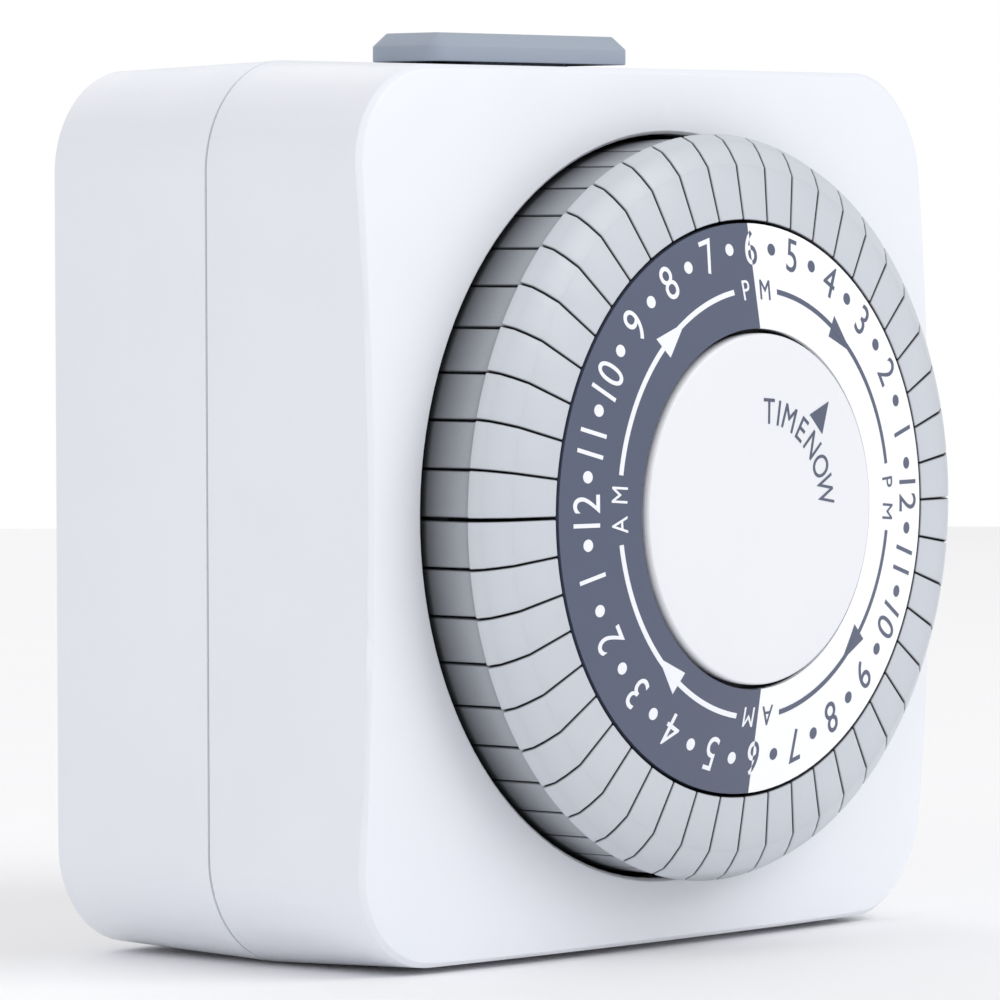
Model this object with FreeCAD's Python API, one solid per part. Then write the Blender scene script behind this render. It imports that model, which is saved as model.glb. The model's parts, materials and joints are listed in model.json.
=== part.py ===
import FreeCAD, Part
import math
import os
from FreeCAD import Vector

# Plug-in mechanical timer switch: a square two-shell housing, a dial ringed by 48 push-in tabs,
# a geared motor movement, a snap switch worked by a cam lever, an override slider on top,
# plug blades at the back and an outlet in the right side.
# Millimetres. X is to the right seen from the front, Y runs back into the wall, Z is up.
# The origin is the middle of the flat back face, which lies against the wall plate.

# Housing sizes
BODY_SIDE_MARGIN = 6.0
BODY_TOP_MARGIN = 6.0
FRONT_DEPTH = 17.5
REAR_DEPTH = 18.5
WALL = 2.0
FACE_WALL = 2.2
DRAFT = 0.6
CORNER_RADIUS = 9.2
FRONT_EDGE_CHAMFER = 0.4
REAR_EDGE_CHAMFER = 0.8
FACE_CROWN_RADIUS = 330.0
SEAM_GAP = 0.2
TONGUE_LENGTH = 1.5
TONGUE_CLEARANCE = 0.1

# Housing screws, one in each corner, driven from the back
BOSS_INSET = 5.8
BOSS_RADIUS = 2.7
BOSS_CLEARANCE = 0.3
SCREW_RADIUS = 1.2
SCREW_HEAD_RADIUS = 2.2
SCREW_HEAD_HEIGHT = 1.6
SCREW_SINK = 6.0
SCREW_LENGTH = 17.0
COUNTERBORE_CLEARANCE = 0.3
RECESS_DEPTH_SHARE = 0.6
RECESS_REACH_SHARE = 0.6
RECESS_WIDTH_SHARE = 0.14

# Dial: a drum with a raised middle, a printed disc, a fixed cap and 48 tabs round the edge
TAB_COUNT = 48
TABS_PER_NODE = 2
TAB_TRAVEL = 3.5
TAB_OUTER_RADIUS = 31.0
TAB_INNER_RADIUS = 23.85
TAB_BEVEL_INSET = 1.9
TAB_CORNER_INSET = 0.7
TAB_BEVEL_RUN = 2.2
TAB_CORNER_RUN = 1.5
TAB_FACE_THICKNESS = 1.7
TAB_FLANGE_HEIGHT = 1.55
TAB_FLANGE_LIP = 0.45
TAB_SKIRT_THICKNESS = 0.9
TAB_SKIRT_REACH = 3.0
TAB_SLIT = 0.16
WIDE_SLIT_EXTRA = 0.12
TAB_CLEARANCE = 0.15
BEAD_HEIGHT = 0.3
BEAD_LENGTH = 0.8
FLANGE_STANDOFF = 5.85
HOLE_GAP = 0.45
HOLE_LIP = 0.3
DISC_GAP = 0.28
DISC_THICKNESS = 0.4
DISC_EDGE_STANDOFF = 8.56
DISC_RISE = 1.39
CAP_RADIUS = 14.5
CAP_GAP = 0.4
CAP_EDGE_STANDOFF = 10.37
CAP_DOME = 0.5
CAP_THICKNESS = 1.2
CAP_BEVEL = 0.15
CAP_DOME_STEPS = 6
DRUM_WALL = 1.5
DRUM_WEB = 1.5
HUB_WALL = 2.4

# Spindle that carries the dial and the fixed cap
SPINDLE_RADIUS = 3.0
RUNNING_CLEARANCE = 0.05
AXIAL_CLEARANCE = 0.1
SPINDLE_FLANGE_RADIUS = 5.0
SPINDLE_SCREW_RADIUS = 1.2
SPINDLE_SCREW_LENGTH = 6.0
WASHER_RADIUS = 4.6
WASHER_THICKNESS = 0.5

# Gear train: ring gear on the drum, compound gear in the lower left corner, motor pinion
RING_MODULE = 0.45
RING_TEETH = 120
RING_PINION_TEETH = 10
WHEEL_MODULE = 0.5
WHEEL_TEETH = 40
MOTOR_PINION_TEETH = 10
RING_THICKNESS = 1.8
WHEEL_THICKNESS = 1.2
GEAR_BACKLASH = 0.1
TOOTH_TIP_MODULES = 0.8
TOOTH_ROOT_MODULES = 1.05
PRESSURE_ANGLE = 20.0
TRAIN_ANGLE = 225.0
LAYER_GAP = 0.35
AXLE_RADIUS = 0.75

# Movement plate and motor
PLATE_THICKNESS = 1.5
PLATE_MARGIN = 6.5
PLATE_CORNER_RADIUS = 3.0
POST_INSET = 10.5
POST_RADIUS = 2.4
MOTOR_RADIUS = 17.0
MOTOR_LENGTH = 11.0
MOTOR_EDGE_CHAMFER = 0.8
MOTOR_EAR_HALF_WIDTH = 3.2
MOTOR_EAR_THICKNESS = 1.0
MOTOR_EAR_CORNER = 3.168
MOTOR_LEAD_ANGLE = 60.0
MOTOR_SHAFT_RADIUS = 0.75
MOTOR_SHAFT_DEPTH = 4.0

# Snap switch, its lever and the override slider
LEVER_PIVOT_ANGLE = 61.975
LEVER_PIVOT_STANDOFF = 2.568
LEVER_PIN_RADIUS = 1.0
LEVER_HUB_RADIUS = 2.0
LEVER_ARM_THICKNESS = 1.4
LEVER_ARM_LENGTH = 10.0
LEVER_ARM_WIDTH = 2.5
NOSE_ANGLE = 45.0
NOSE_CLEARANCE = 0.45
NOSE_TRAVEL = 1.15
NOSE_WIDTH = 2.2
NOSE_ROUND = 0.6
SWITCH_LENGTH = 20.0
SWITCH_HEIGHT = 10.0
SWITCH_THICKNESS = 6.4
SWITCH_REACH = 14.5
SWITCH_HOLE_DROP = 7.0
TERMINAL_INSET = 4.0
PLUNGER_OFFSET = 7.5
PLUNGER_RADIUS = 0.9
PLUNGER_DEPTH = 4.0
SLIDER_LENGTH = 24.1
SLIDER_WIDTH = 7.5
SLIDER_HEIGHT = 2.4
SLIDER_CHAMFER = 1.1
SLIDER_CORNER = 1.4
SLIDER_CENTRE_X = -1.75
SLIDER_FORWARD_OF_SEAM = 1.0
SLIDER_TRAVEL = 5.0
SLIDER_NECK_LENGTH = 12.0
SLIDER_NECK_WIDTH = 4.0
SLIDER_CLEARANCE = 0.2
SLIDER_FLANGE_WIDTH = 6.4
SLIDER_FLANGE_THICKNESS = 0.8
SLIDER_LEG_LENGTH = 6.0

# Plug and outlet, both with the standard 15 A grounded layout
BLADE_PITCH = 12.7
GROUND_DROP = 11.9
BLADE_THICKNESS = 1.52
NEUTRAL_BLADE_WIDTH = 7.9
LINE_BLADE_WIDTH = 6.35
BLADE_LENGTH = 17.0
BLADE_TAIL = 8.0
NEUTRAL_TAIL = 11.0
BLADE_SHOULDER = 1.2
BLADE_TIP_CHAMFER = 0.456
GROUND_PIN_RADIUS = 2.38
GROUND_PIN_LENGTH = 20.2
PIN_SHANK_EXTRA = 0.3
PLUG_Z = 4.0
OUTLET_Z = 4.0
OUTLET_SET_BACK = 15.2
OUTLET_WIDTH = 22.0
OUTLET_HEIGHT = 26.0
OUTLET_CORNER = 3.0
OUTLET_FLANGE = 1.5
OUTLET_FLANGE_THICKNESS = 1.8
OUTLET_RECESS = 0.9
OUTLET_CLEARANCE = 0.15
OUTLET_SHIFT = -5.0
OUTLET_WALL_GAP = 0.15
EDGE_REACH = 0.1
SLOT_CLEARANCE = 0.6
SLOT_END_CLEARANCE = 0.9
GROUND_HOLE_RADIUS = 2.6
CONTACT_LENGTH = 16.0
CONTACT_LEAF = 0.6
CONTACT_HEIGHT = 6.0
STRAP_THICKNESS = 0.6
STRAP_WIDTH = 5.0
LIVE_STRAP_WIDTH = 4.0
LOAD_STRAP_WIDTH = 3.0
NEUTRAL_STRAP_WIDTH = 3.5
LIVE_STRAP_DROP = 1.25
LOAD_STRAP_DROP = 1.95
MOTOR_WIRE_RADIUS = 0.5
MOTOR_WIRE_BEND = 2.0

# Radii of the dial's pieces, and the body's outline round the dial
SKIRT_RADIUS = TAB_OUTER_RADIUS - TAB_FLANGE_LIP
SKIRT_INNER_RADIUS = SKIRT_RADIUS - TAB_SKIRT_THICKNESS
TAB_BEVEL_RADIUS = TAB_OUTER_RADIUS - TAB_BEVEL_INSET
TAB_CORNER_RADIUS = TAB_OUTER_RADIUS - TAB_CORNER_INSET
HOLE_RADIUS = SKIRT_RADIUS + HOLE_GAP
DRUM_RADIUS = SKIRT_INNER_RADIUS - TAB_CLEARANCE
PLATEAU_RADIUS = TAB_INNER_RADIUS - 2 * TAB_CLEARANCE
DISC_RADIUS = TAB_INNER_RADIUS - DISC_GAP
DISC_HOLE_RADIUS = CAP_RADIUS + CAP_GAP
HALF_WIDTH = TAB_OUTER_RADIUS + BODY_SIDE_MARGIN
HALF_HEIGHT = TAB_OUTER_RADIUS + BODY_TOP_MARGIN

# Depths worked out from the sizes above, all along Y
SEAM_Y = -REAR_DEPTH
FRONT_Y = -(REAR_DEPTH + FRONT_DEPTH)
FACE_INSIDE_Y = FRONT_Y + FACE_WALL
FLANGE_BACK_Y = FRONT_Y - FLANGE_STANDOFF
DISC_EDGE_Y = FRONT_Y - DISC_EDGE_STANDOFF
DISC_INNER_Y = DISC_EDGE_Y - DISC_RISE
CAP_EDGE_Y = FRONT_Y - CAP_EDGE_STANDOFF
TAB_BACK_Y = FRONT_Y + TAB_SKIRT_REACH
RING_FRONT_Y = TAB_BACK_Y + TAB_TRAVEL + LAYER_GAP
RING_BACK_Y = RING_FRONT_Y + RING_THICKNESS
WHEEL_FRONT_Y = RING_BACK_Y + LAYER_GAP
WHEEL_BACK_Y = WHEEL_FRONT_Y + WHEEL_THICKNESS
PLATE_FRONT_Y = WHEEL_BACK_Y + LAYER_GAP
PLATE_BACK_Y = PLATE_FRONT_Y + PLATE_THICKNESS
CAP_BACK_Y = CAP_EDGE_Y + CAP_THICKNESS
SPINDLE_END_Y = CAP_BACK_Y + LAYER_GAP + WASHER_THICKNESS
HUB_FRONT_Y = SPINDLE_END_Y + AXIAL_CLEARANCE
SHELF_Y = FLANGE_BACK_Y - TAB_FLANGE_HEIGHT + TAB_FACE_THICKNESS + TAB_TRAVEL + LAYER_GAP
SLIDER_Y = SEAM_Y - SLIDER_FORWARD_OF_SEAM
MOTOR_SCREW_REACH = MOTOR_RADIUS + SCREW_HEAD_RADIUS + LAYER_GAP
MOTOR_BACK_Y = PLATE_BACK_Y + MOTOR_LENGTH
BORE_RADIUS = SPINDLE_RADIUS + RUNNING_CLEARANCE
TAB_PITCH = 360.0 / TAB_COUNT
DISC_SLOPE = DISC_RISE / (DISC_RADIUS - DISC_HOLE_RADIUS)

# Gear centres, in the plane of the dial
RING_PITCH_RADIUS = RING_MODULE * RING_TEETH / 2
TRAIN_DISTANCE = RING_PITCH_RADIUS + RING_MODULE * RING_PINION_TEETH / 2
MOTOR_DISTANCE = TRAIN_DISTANCE - WHEEL_MODULE * (WHEEL_TEETH + MOTOR_PINION_TEETH) / 2
TRAIN_X = TRAIN_DISTANCE * math.cos(math.radians(TRAIN_ANGLE))
TRAIN_Z = TRAIN_DISTANCE * math.sin(math.radians(TRAIN_ANGLE))
MOTOR_X = MOTOR_DISTANCE * math.cos(math.radians(TRAIN_ANGLE))
MOTOR_Z = MOTOR_DISTANCE * math.sin(math.radians(TRAIN_ANGLE))

# The lever's pivot, just outside the tabs, and the snap switch's place beside it
LEVER_PIVOT_RADIUS = SKIRT_RADIUS + LEVER_HUB_RADIUS + LEVER_PIVOT_STANDOFF
LEVER_PIVOT_X = LEVER_PIVOT_RADIUS * math.cos(math.radians(LEVER_PIVOT_ANGLE))
LEVER_PIVOT_Z = LEVER_PIVOT_RADIUS * math.sin(math.radians(LEVER_PIVOT_ANGLE))
SWITCH_LEFT = LEVER_PIVOT_X - SWITCH_REACH

# Plug and outlet centres
OUTLET_Y = -OUTLET_SET_BACK
NEUTRAL_SLOT_Y = OUTLET_Y - BLADE_PITCH / 2
LINE_SLOT_Y = OUTLET_Y + BLADE_PITCH / 2
OUTLET_FACE_X = HALF_WIDTH - OUTLET_RECESS
OUTLET_BACK_X = HALF_WIDTH - DRAFT - WALL - OUTLET_FLANGE_THICKNESS - OUTLET_WALL_GAP
CONTACT_FRONT_X = OUTLET_BACK_X - OUTLET_CLEARANCE
CONTACT_BACK_X = CONTACT_FRONT_X - CONTACT_LENGTH

Y_AXIS = Vector(0, 1, 0)
ORIGIN = Vector(0, 0, 0)


def box(x0, x1, y0, y1, z0, z1):
    """Block between two corners."""
    return Part.makeBox(x1 - x0, y1 - y0, z1 - z0, Vector(x0, y0, z0))


def rod_y(radius, y0, y1, x=0.0, z=0.0):
    """Cylinder along Y."""
    return Part.makeCylinder(radius, y1 - y0, Vector(x, y0, z), Y_AXIS)


def tube_y(outer, inner, y0, y1, x=0.0, z=0.0):
    """Hollow cylinder along Y."""
    return rod_y(outer, y0, y1, x, z).cut(rod_y(inner, y0, y1, x, z))


def polygon_face(points):
    """Flat face inside a closed run of straight edges."""
    return Part.Face(Part.makePolygon(points + [points[0]]))


def turned(profile, angle=360.0):
    """Solid of revolution about Y from (radius, y) points."""
    face = polygon_face([Vector(r, y, 0) for r, y in profile])
    return face.revolve(ORIGIN, Y_AXIS, angle)


def prism_y(points, y0, y1):
    """Straight prism along Y over an outline of (x, z) points."""
    face = polygon_face([Vector(x, y0, z) for x, z in points])
    return face.extrude(Vector(0, y1 - y0, 0))


def rounded_wire(half_x, half_z, radius, y, x=0.0, z=0.0):
    """Rounded rectangle in a plane across Y, drawn anticlockwise from the right side."""
    edges = []
    corners = [(1, 1, 0), (-1, 1, 90), (-1, -1, 180), (1, -1, 270)]
    ends = []
    for side_x, side_z, start in corners:
        cx = x + side_x * (half_x - radius)
        cz = z + side_z * (half_z - radius)
        arc = [
            Vector(cx + radius * math.cos(math.radians(start + turn)), y,
                   cz + radius * math.sin(math.radians(start + turn)))
            for turn in (0, 45, 90)
        ]
        ends.append(arc)
    for index, arc in enumerate(ends):
        following = ends[(index + 1) % len(ends)]
        edges.append(Part.Arc(*arc).toShape())
        edges.append(Part.LineSegment(arc[2], following[0]).toShape())
    return Part.Wire(edges)


def rounded_block(half_x, half_z, radius, y0, y1, x=0.0, z=0.0):
    """Straight block along Y with rounded corners."""
    face = Part.Face(rounded_wire(half_x, half_z, radius, y0, x, z))
    return face.extrude(Vector(0, y1 - y0, 0))


def tapered_block(y0, inset0, y1, inset1, corner_radius=CORNER_RADIUS):
    """Block between two rounded squares, each set in from the body's full size."""
    wires = [
        rounded_wire(HALF_WIDTH - inset, HALF_HEIGHT - inset, corner_radius - inset, y)
        for y, inset in ((y0, inset0), (y1, inset1))
    ]
    return Part.makeLoft(wires, True, True)


def edges_where(shape, test):
    """Edges of a shape whose box passes a test."""
    return [edge for edge in shape.Edges if test(edge.BoundBox)]


def corner_places(inset):
    """The four corners of the body, set in by the same distance both ways."""
    reach_x = HALF_WIDTH - inset
    reach_z = HALF_HEIGHT - inset
    return [(sx * reach_x, sz * reach_z) for sx in (-1, 1) for sz in (-1, 1)]


def involute_angle(pressure):
    """Involute function of a pressure angle in radians."""
    return math.tan(pressure) - pressure


def gear_outline(module, teeth, phase, flank_steps):
    """Outline points of a spur gear with involute flanks; one tooth is centred on phase."""
    pitch_radius = module * teeth / 2
    base_radius = pitch_radius * math.cos(math.radians(PRESSURE_ANGLE))
    tip_radius = pitch_radius + TOOTH_TIP_MODULES * module
    root_radius = pitch_radius - TOOTH_ROOT_MODULES * module
    half_pitch_angle = (math.pi * module / 2 - GEAR_BACKLASH / 2) / (2 * pitch_radius)
    lowest = max(base_radius, root_radius)
    flank = []
    for step in range(flank_steps):
        radius = lowest + (tip_radius - lowest) * step / (flank_steps - 1)
        pressure = math.acos(min(1.0, base_radius / radius))
        half = half_pitch_angle + involute_angle(math.radians(PRESSURE_ANGLE)) - involute_angle(pressure)
        flank.append((radius, half))
    if root_radius < lowest:
        flank.insert(0, (root_radius, flank[0][1]))
    points = []
    for tooth in range(teeth):
        middle = math.radians(phase) + 2 * math.pi * tooth / teeth
        rising = [(radius, middle - half) for radius, half in flank]
        falling = [(radius, middle + half) for radius, half in reversed(flank)]
        points += [(r * math.cos(a), r * math.sin(a)) for r, a in rising + falling]
    return points


def gear(module, teeth, phase, y0, y1, x=0.0, z=0.0, flank_steps=3):
    """Spur gear along Y."""
    outline = [(x + px, z + pz) for px, pz in gear_outline(module, teeth, phase, flank_steps)]
    return prism_y(outline, y0, y1)


def outlet_window():
    """Block that cuts the outlet's window through the right wall of both shells."""
    return box_x_rounded(OUTLET_WIDTH / 2 + OUTLET_CLEARANCE, OUTLET_HEIGHT / 2 + OUTLET_CLEARANCE,
                         OUTLET_CORNER, HALF_WIDTH - 2 * WALL - DRAFT, HALF_WIDTH + WALL)


def box_x_rounded(half_y, half_z, radius, x0, x1):
    """Rounded block along X, centred on the outlet."""
    block = rounded_block(half_y, half_z, radius, x0, x1)
    block.rotate(ORIGIN, Vector(0, 0, 1), -90)
    block.translate(Vector(0, OUTLET_Y, OUTLET_Z + OUTLET_SHIFT))
    return block


def slider_slot():
    """Slot in the top wall that the override slider's neck runs in."""
    half_neck = SLIDER_NECK_LENGTH / 2 + SLIDER_CLEARANCE
    half_width = SLIDER_NECK_WIDTH / 2 + SLIDER_CLEARANCE
    return box(SLIDER_CENTRE_X - half_neck - SLIDER_TRAVEL, SLIDER_CENTRE_X + half_neck,
               SLIDER_Y - half_width, SLIDER_Y + half_width,
               HALF_HEIGHT - 2 * WALL, HALF_HEIGHT + WALL)


def front_housing():
    """Front shell: crowned face with the dial's hole, bosses and posts inside."""
    per_mm = DRAFT / FRONT_DEPTH
    overrun = FACE_CROWN_RADIUS - math.sqrt(FACE_CROWN_RADIUS ** 2 - HALF_WIDTH ** 2) + WALL / 2
    shell = tapered_block(FRONT_Y - overrun, DRAFT + overrun * per_mm, SEAM_Y - SEAM_GAP / 2, 0.0)
    edge_reach = HALF_WIDTH - DRAFT
    crown_centre = FRONT_Y + math.sqrt(FACE_CROWN_RADIUS ** 2 - edge_reach ** 2)
    crown = Part.makeSphere(FACE_CROWN_RADIUS, Vector(0, crown_centre, 0), Y_AXIS)
    shell = shell.common(crown)
    rim = edges_where(shell, lambda b: b.YMax < SEAM_Y - FRONT_DEPTH / 2)
    shell = shell.makeChamfer(FRONT_EDGE_CHAMFER, rim)
    shell = shell.cut(tapered_block(FACE_INSIDE_Y, DRAFT + WALL, SEAM_Y, WALL))
    rebate = tapered_block(SEAM_Y - SEAM_GAP / 2 - TONGUE_LENGTH - TONGUE_CLEARANCE,
                           WALL / 2 - TONGUE_CLEARANCE, SEAM_Y, WALL / 2 - TONGUE_CLEARANCE)
    shell = shell.cut(rebate)
    shell = shell.cut(rod_y(HOLE_RADIUS, FRONT_Y - overrun, FACE_INSIDE_Y + WALL))
    lip_y = crown_centre - math.sqrt(FACE_CROWN_RADIUS ** 2 - HOLE_RADIUS ** 2)
    shell = shell.cut(turned([
        (HOLE_RADIUS - WALL, lip_y - WALL),
        (HOLE_RADIUS + HOLE_LIP + WALL, lip_y - WALL),
        (HOLE_RADIUS, lip_y + HOLE_LIP),
        (HOLE_RADIUS - WALL, lip_y + HOLE_LIP),
    ]))
    for x, z in corner_places(BOSS_INSET):
        shell = shell.fuse(rod_y(BOSS_RADIUS, FACE_INSIDE_Y, SEAM_Y, x, z))
    for x, z in post_places():
        shell = shell.fuse(rod_y(POST_RADIUS, FACE_INSIDE_Y, PLATE_FRONT_Y, x, z))
        shell = shell.cut(rod_y(SCREW_RADIUS, PLATE_FRONT_Y - SCREW_LENGTH / 3, PLATE_FRONT_Y, x, z))
    shell = shell.fuse(rod_y(LEVER_HUB_RADIUS, FACE_INSIDE_Y, nose_front_y() - TAB_CLEARANCE,
                             LEVER_PIVOT_X, LEVER_PIVOT_Z))
    shell = shell.cut(rod_y(LEVER_PIN_RADIUS, FACE_INSIDE_Y, SEAM_Y, LEVER_PIVOT_X, LEVER_PIVOT_Z))
    for x, z in corner_places(BOSS_INSET):
        shell = shell.cut(rod_y(SCREW_RADIUS, -(SCREW_SINK + SCREW_LENGTH), SEAM_Y, x, z))
    shell = shell.cut(outlet_window()).cut(slider_slot())
    return shell.removeSplitter()


def rear_housing():
    """Rear shell: flat back with the plug's slots, counterbored screw bosses and a tongue."""
    shell = tapered_block(SEAM_Y + SEAM_GAP / 2, 0.0, 0.0, DRAFT)
    rim = edges_where(shell, lambda b: b.YMin > -REAR_EDGE_CHAMFER)
    shell = shell.makeChamfer(REAR_EDGE_CHAMFER, rim)
    tongue = tapered_block(SEAM_Y - SEAM_GAP / 2 - TONGUE_LENGTH, WALL / 2, SEAM_Y + WALL, WALL / 2)
    shell = shell.fuse(tongue)
    shell = shell.cut(tapered_block(SEAM_Y - TONGUE_LENGTH - WALL, WALL, SEAM_Y, WALL))
    shell = shell.cut(tapered_block(SEAM_Y, WALL, -WALL, DRAFT + WALL))
    for x, z in corner_places(BOSS_INSET):
        shell = shell.cut(rod_y(BOSS_RADIUS + BOSS_CLEARANCE, SEAM_Y - TONGUE_LENGTH - WALL, SEAM_Y, x, z))
        shell = shell.fuse(rod_y(BOSS_RADIUS, SEAM_Y, -WALL, x, z))
    shell = shell.fuse(rod_y(LEVER_HUB_RADIUS, lever_back_y() + TAB_CLEARANCE, -WALL,
                             LEVER_PIVOT_X, LEVER_PIVOT_Z))
    shell = shell.cut(rod_y(LEVER_PIN_RADIUS, SEAM_Y, lever_pin_end_y(), LEVER_PIVOT_X, LEVER_PIVOT_Z))
    for x, z in corner_places(BOSS_INSET):
        shell = shell.cut(rod_y(SCREW_RADIUS, SEAM_Y, -SCREW_SINK, x, z))
        shell = shell.cut(rod_y(SCREW_HEAD_RADIUS + COUNTERBORE_CLEARANCE, -SCREW_SINK, 0, x, z))
    for x, width in ((-BLADE_PITCH / 2, NEUTRAL_BLADE_WIDTH), (BLADE_PITCH / 2, LINE_BLADE_WIDTH)):
        shell = shell.cut(box(x - BLADE_THICKNESS / 2, x + BLADE_THICKNESS / 2, -WALL, 0,
                              PLUG_Z - width / 2, PLUG_Z + width / 2))
    shell = shell.cut(rod_y(GROUND_PIN_RADIUS + PIN_SHANK_EXTRA, -WALL, 0, 0, PLUG_Z - GROUND_DROP))
    shell = shell.cut(outlet_window()).cut(slider_slot())
    return shell.removeSplitter()


def screw(length, radius, head_radius, head_height, head_y, x, z):
    """Screw with its head towards the back, shank running forward, and a cross recess."""
    body = rod_y(radius, head_y - length, head_y, x, z)
    head = rod_y(head_radius, head_y, head_y + head_height, x, z)
    recess_depth = head_height * RECESS_DEPTH_SHARE
    arm = head_radius * RECESS_REACH_SHARE
    width = head_radius * RECESS_WIDTH_SHARE
    top = head_y + head_height
    cross = box(x - arm, x + arm, top - recess_depth, top, z - width, z + width)
    cross = cross.fuse(box(x - width, x + width, top - recess_depth, top, z - arm, z + arm))
    return body.fuse(head).cut(cross)


def housing_screws():
    """Four screws that hold the shells together."""
    return [screw(SCREW_LENGTH, SCREW_RADIUS, SCREW_HEAD_RADIUS, SCREW_HEAD_HEIGHT, -SCREW_SINK, x, z)
            for x, z in corner_places(BOSS_INSET)]


def post_places():
    """Where the movement plate is screwed down: upper left and lower right."""
    reach_x = HALF_WIDTH - POST_INSET
    reach_z = HALF_HEIGHT - POST_INSET
    return [(-reach_x, reach_z), (reach_x, -reach_z)]


def plate_screws():
    """Two screws through the movement plate into the front shell's posts."""
    return [screw(SCREW_LENGTH / 3, SCREW_RADIUS, SCREW_HEAD_RADIUS, SCREW_HEAD_HEIGHT, PLATE_BACK_Y, x, z)
            for x, z in post_places()]


def movement_plate():
    """Flat plate that carries the spindle, the gears, the motor and the switch."""
    plate = rounded_block(HALF_WIDTH - PLATE_MARGIN, HALF_HEIGHT - PLATE_MARGIN, PLATE_CORNER_RADIUS,
                          PLATE_FRONT_Y, PLATE_BACK_Y)
    for x, z in corner_places(BOSS_INSET):
        plate = plate.cut(rod_y(BOSS_RADIUS + 2 * LAYER_GAP, PLATE_FRONT_Y, PLATE_BACK_Y, x, z))
    plate = plate.cut(rod_y(LEVER_HUB_RADIUS + 2 * LAYER_GAP, PLATE_FRONT_Y, PLATE_BACK_Y,
                            LEVER_PIVOT_X, LEVER_PIVOT_Z))
    holes = [(SPINDLE_RADIUS, 0, 0), (AXLE_RADIUS, TRAIN_X, TRAIN_Z)]
    holes.append((WHEEL_MODULE * MOTOR_PINION_TEETH / 2 + WHEEL_MODULE + LAYER_GAP, MOTOR_X, MOTOR_Z))
    holes += [(SCREW_RADIUS, x, z) for x, z in post_places() + motor_screw_places()]
    for radius, x, z in holes:
        plate = plate.cut(rod_y(radius, PLATE_FRONT_Y, PLATE_BACK_Y, x, z))
    return plate


def dial_spindle():
    """Fixed post through the dial's hub, with a thrust shoulder on the plate and a tapped end."""
    post = rod_y(SPINDLE_RADIUS, SPINDLE_END_Y, PLATE_BACK_Y)
    post = post.fuse(rod_y(SPINDLE_FLANGE_RADIUS, RING_BACK_Y + AXIAL_CLEARANCE, PLATE_FRONT_Y))
    return post.cut(rod_y(SPINDLE_SCREW_RADIUS, SPINDLE_END_Y, SPINDLE_END_Y + SPINDLE_SCREW_LENGTH))


def spindle_washer():
    """Washer that keeps the dial on its spindle."""
    return tube_y(WASHER_RADIUS, SPINDLE_SCREW_RADIUS, SPINDLE_END_Y - WASHER_THICKNESS, SPINDLE_END_Y)


def centre_cap():
    """Fixed cap with a shallow dome; its post runs down into the spindle's tapped end."""
    face_radius = CAP_RADIUS - CAP_BEVEL
    profile = [(0, CAP_BACK_Y), (CAP_RADIUS, CAP_BACK_Y), (CAP_RADIUS, CAP_EDGE_Y + CAP_BEVEL)]
    for step in range(CAP_DOME_STEPS + 1):
        share = 1 - step / CAP_DOME_STEPS
        profile.append((face_radius * share, CAP_EDGE_Y - CAP_DOME * (1 - share ** 2)))
    post_end = SPINDLE_END_Y + SPINDLE_SCREW_LENGTH - LAYER_GAP
    return turned(profile).fuse(rod_y(SPINDLE_SCREW_RADIUS, CAP_BACK_Y, post_end))


def dial_drum():
    """Drum: coned middle under the printed disc, a shelf behind the tabs, a grooved outer wall
    that keeps the tabs from falling out, and the ring gear at the back."""
    cone_edge = DISC_EDGE_Y + DISC_THICKNESS
    pocket_radius = DISC_HOLE_RADIUS - TAB_CLEARANCE / 2
    web_back = SHELF_Y + DRUM_WEB
    wall_end = RING_FRONT_Y - LAYER_GAP
    groove_front = TAB_BACK_Y - BEAD_LENGTH - TAB_CLEARANCE
    ring_seat = RING_PITCH_RADIUS - 4 * RING_MODULE
    profile = [
        (BORE_RADIUS, HUB_FRONT_Y),
        (pocket_radius, HUB_FRONT_Y),
        (pocket_radius, cone_edge - DISC_SLOPE * (PLATEAU_RADIUS - pocket_radius)),
        (PLATEAU_RADIUS, cone_edge),
        (PLATEAU_RADIUS, SHELF_Y),
        (DRUM_RADIUS, SHELF_Y),
        (DRUM_RADIUS, groove_front),
        (DRUM_RADIUS - BEAD_HEIGHT, groove_front),
        (DRUM_RADIUS - BEAD_HEIGHT, wall_end),
        (DRUM_RADIUS - DRUM_WALL, wall_end),
        (DRUM_RADIUS - DRUM_WALL, web_back),
        (ring_seat, web_back),
        (ring_seat, RING_BACK_Y),
        (ring_seat - DRUM_WALL, RING_BACK_Y),
        (ring_seat - DRUM_WALL, web_back),
        (PLATEAU_RADIUS - DRUM_WALL, web_back),
        (PLATEAU_RADIUS - DRUM_WALL, HUB_FRONT_Y + DRUM_WEB),
        (BORE_RADIUS + HUB_WALL, HUB_FRONT_Y + DRUM_WEB),
        (BORE_RADIUS + HUB_WALL, RING_BACK_Y),
        (BORE_RADIUS, RING_BACK_Y),
    ]
    ring = gear(RING_MODULE, RING_TEETH, 0.0, RING_FRONT_Y, RING_BACK_Y, flank_steps=2)
    ring = ring.cut(rod_y(ring_seat, RING_FRONT_Y, RING_BACK_Y))
    return turned(profile).fuse(ring)


def hour_disc():
    """Printed disc, slightly coned, stuck on the drum's middle."""
    back_edge = DISC_EDGE_Y + DISC_THICKNESS
    return turned([
        (DISC_RADIUS, DISC_EDGE_Y),
        (DISC_RADIUS, back_edge - DISC_SLOPE * (PLATEAU_RADIUS - DISC_RADIUS)),
        (DISC_HOLE_RADIUS, back_edge - DISC_SLOPE * (PLATEAU_RADIUS - DISC_HOLE_RADIUS)),
        (DISC_HOLE_RADIUS, DISC_INNER_Y),
    ])


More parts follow.
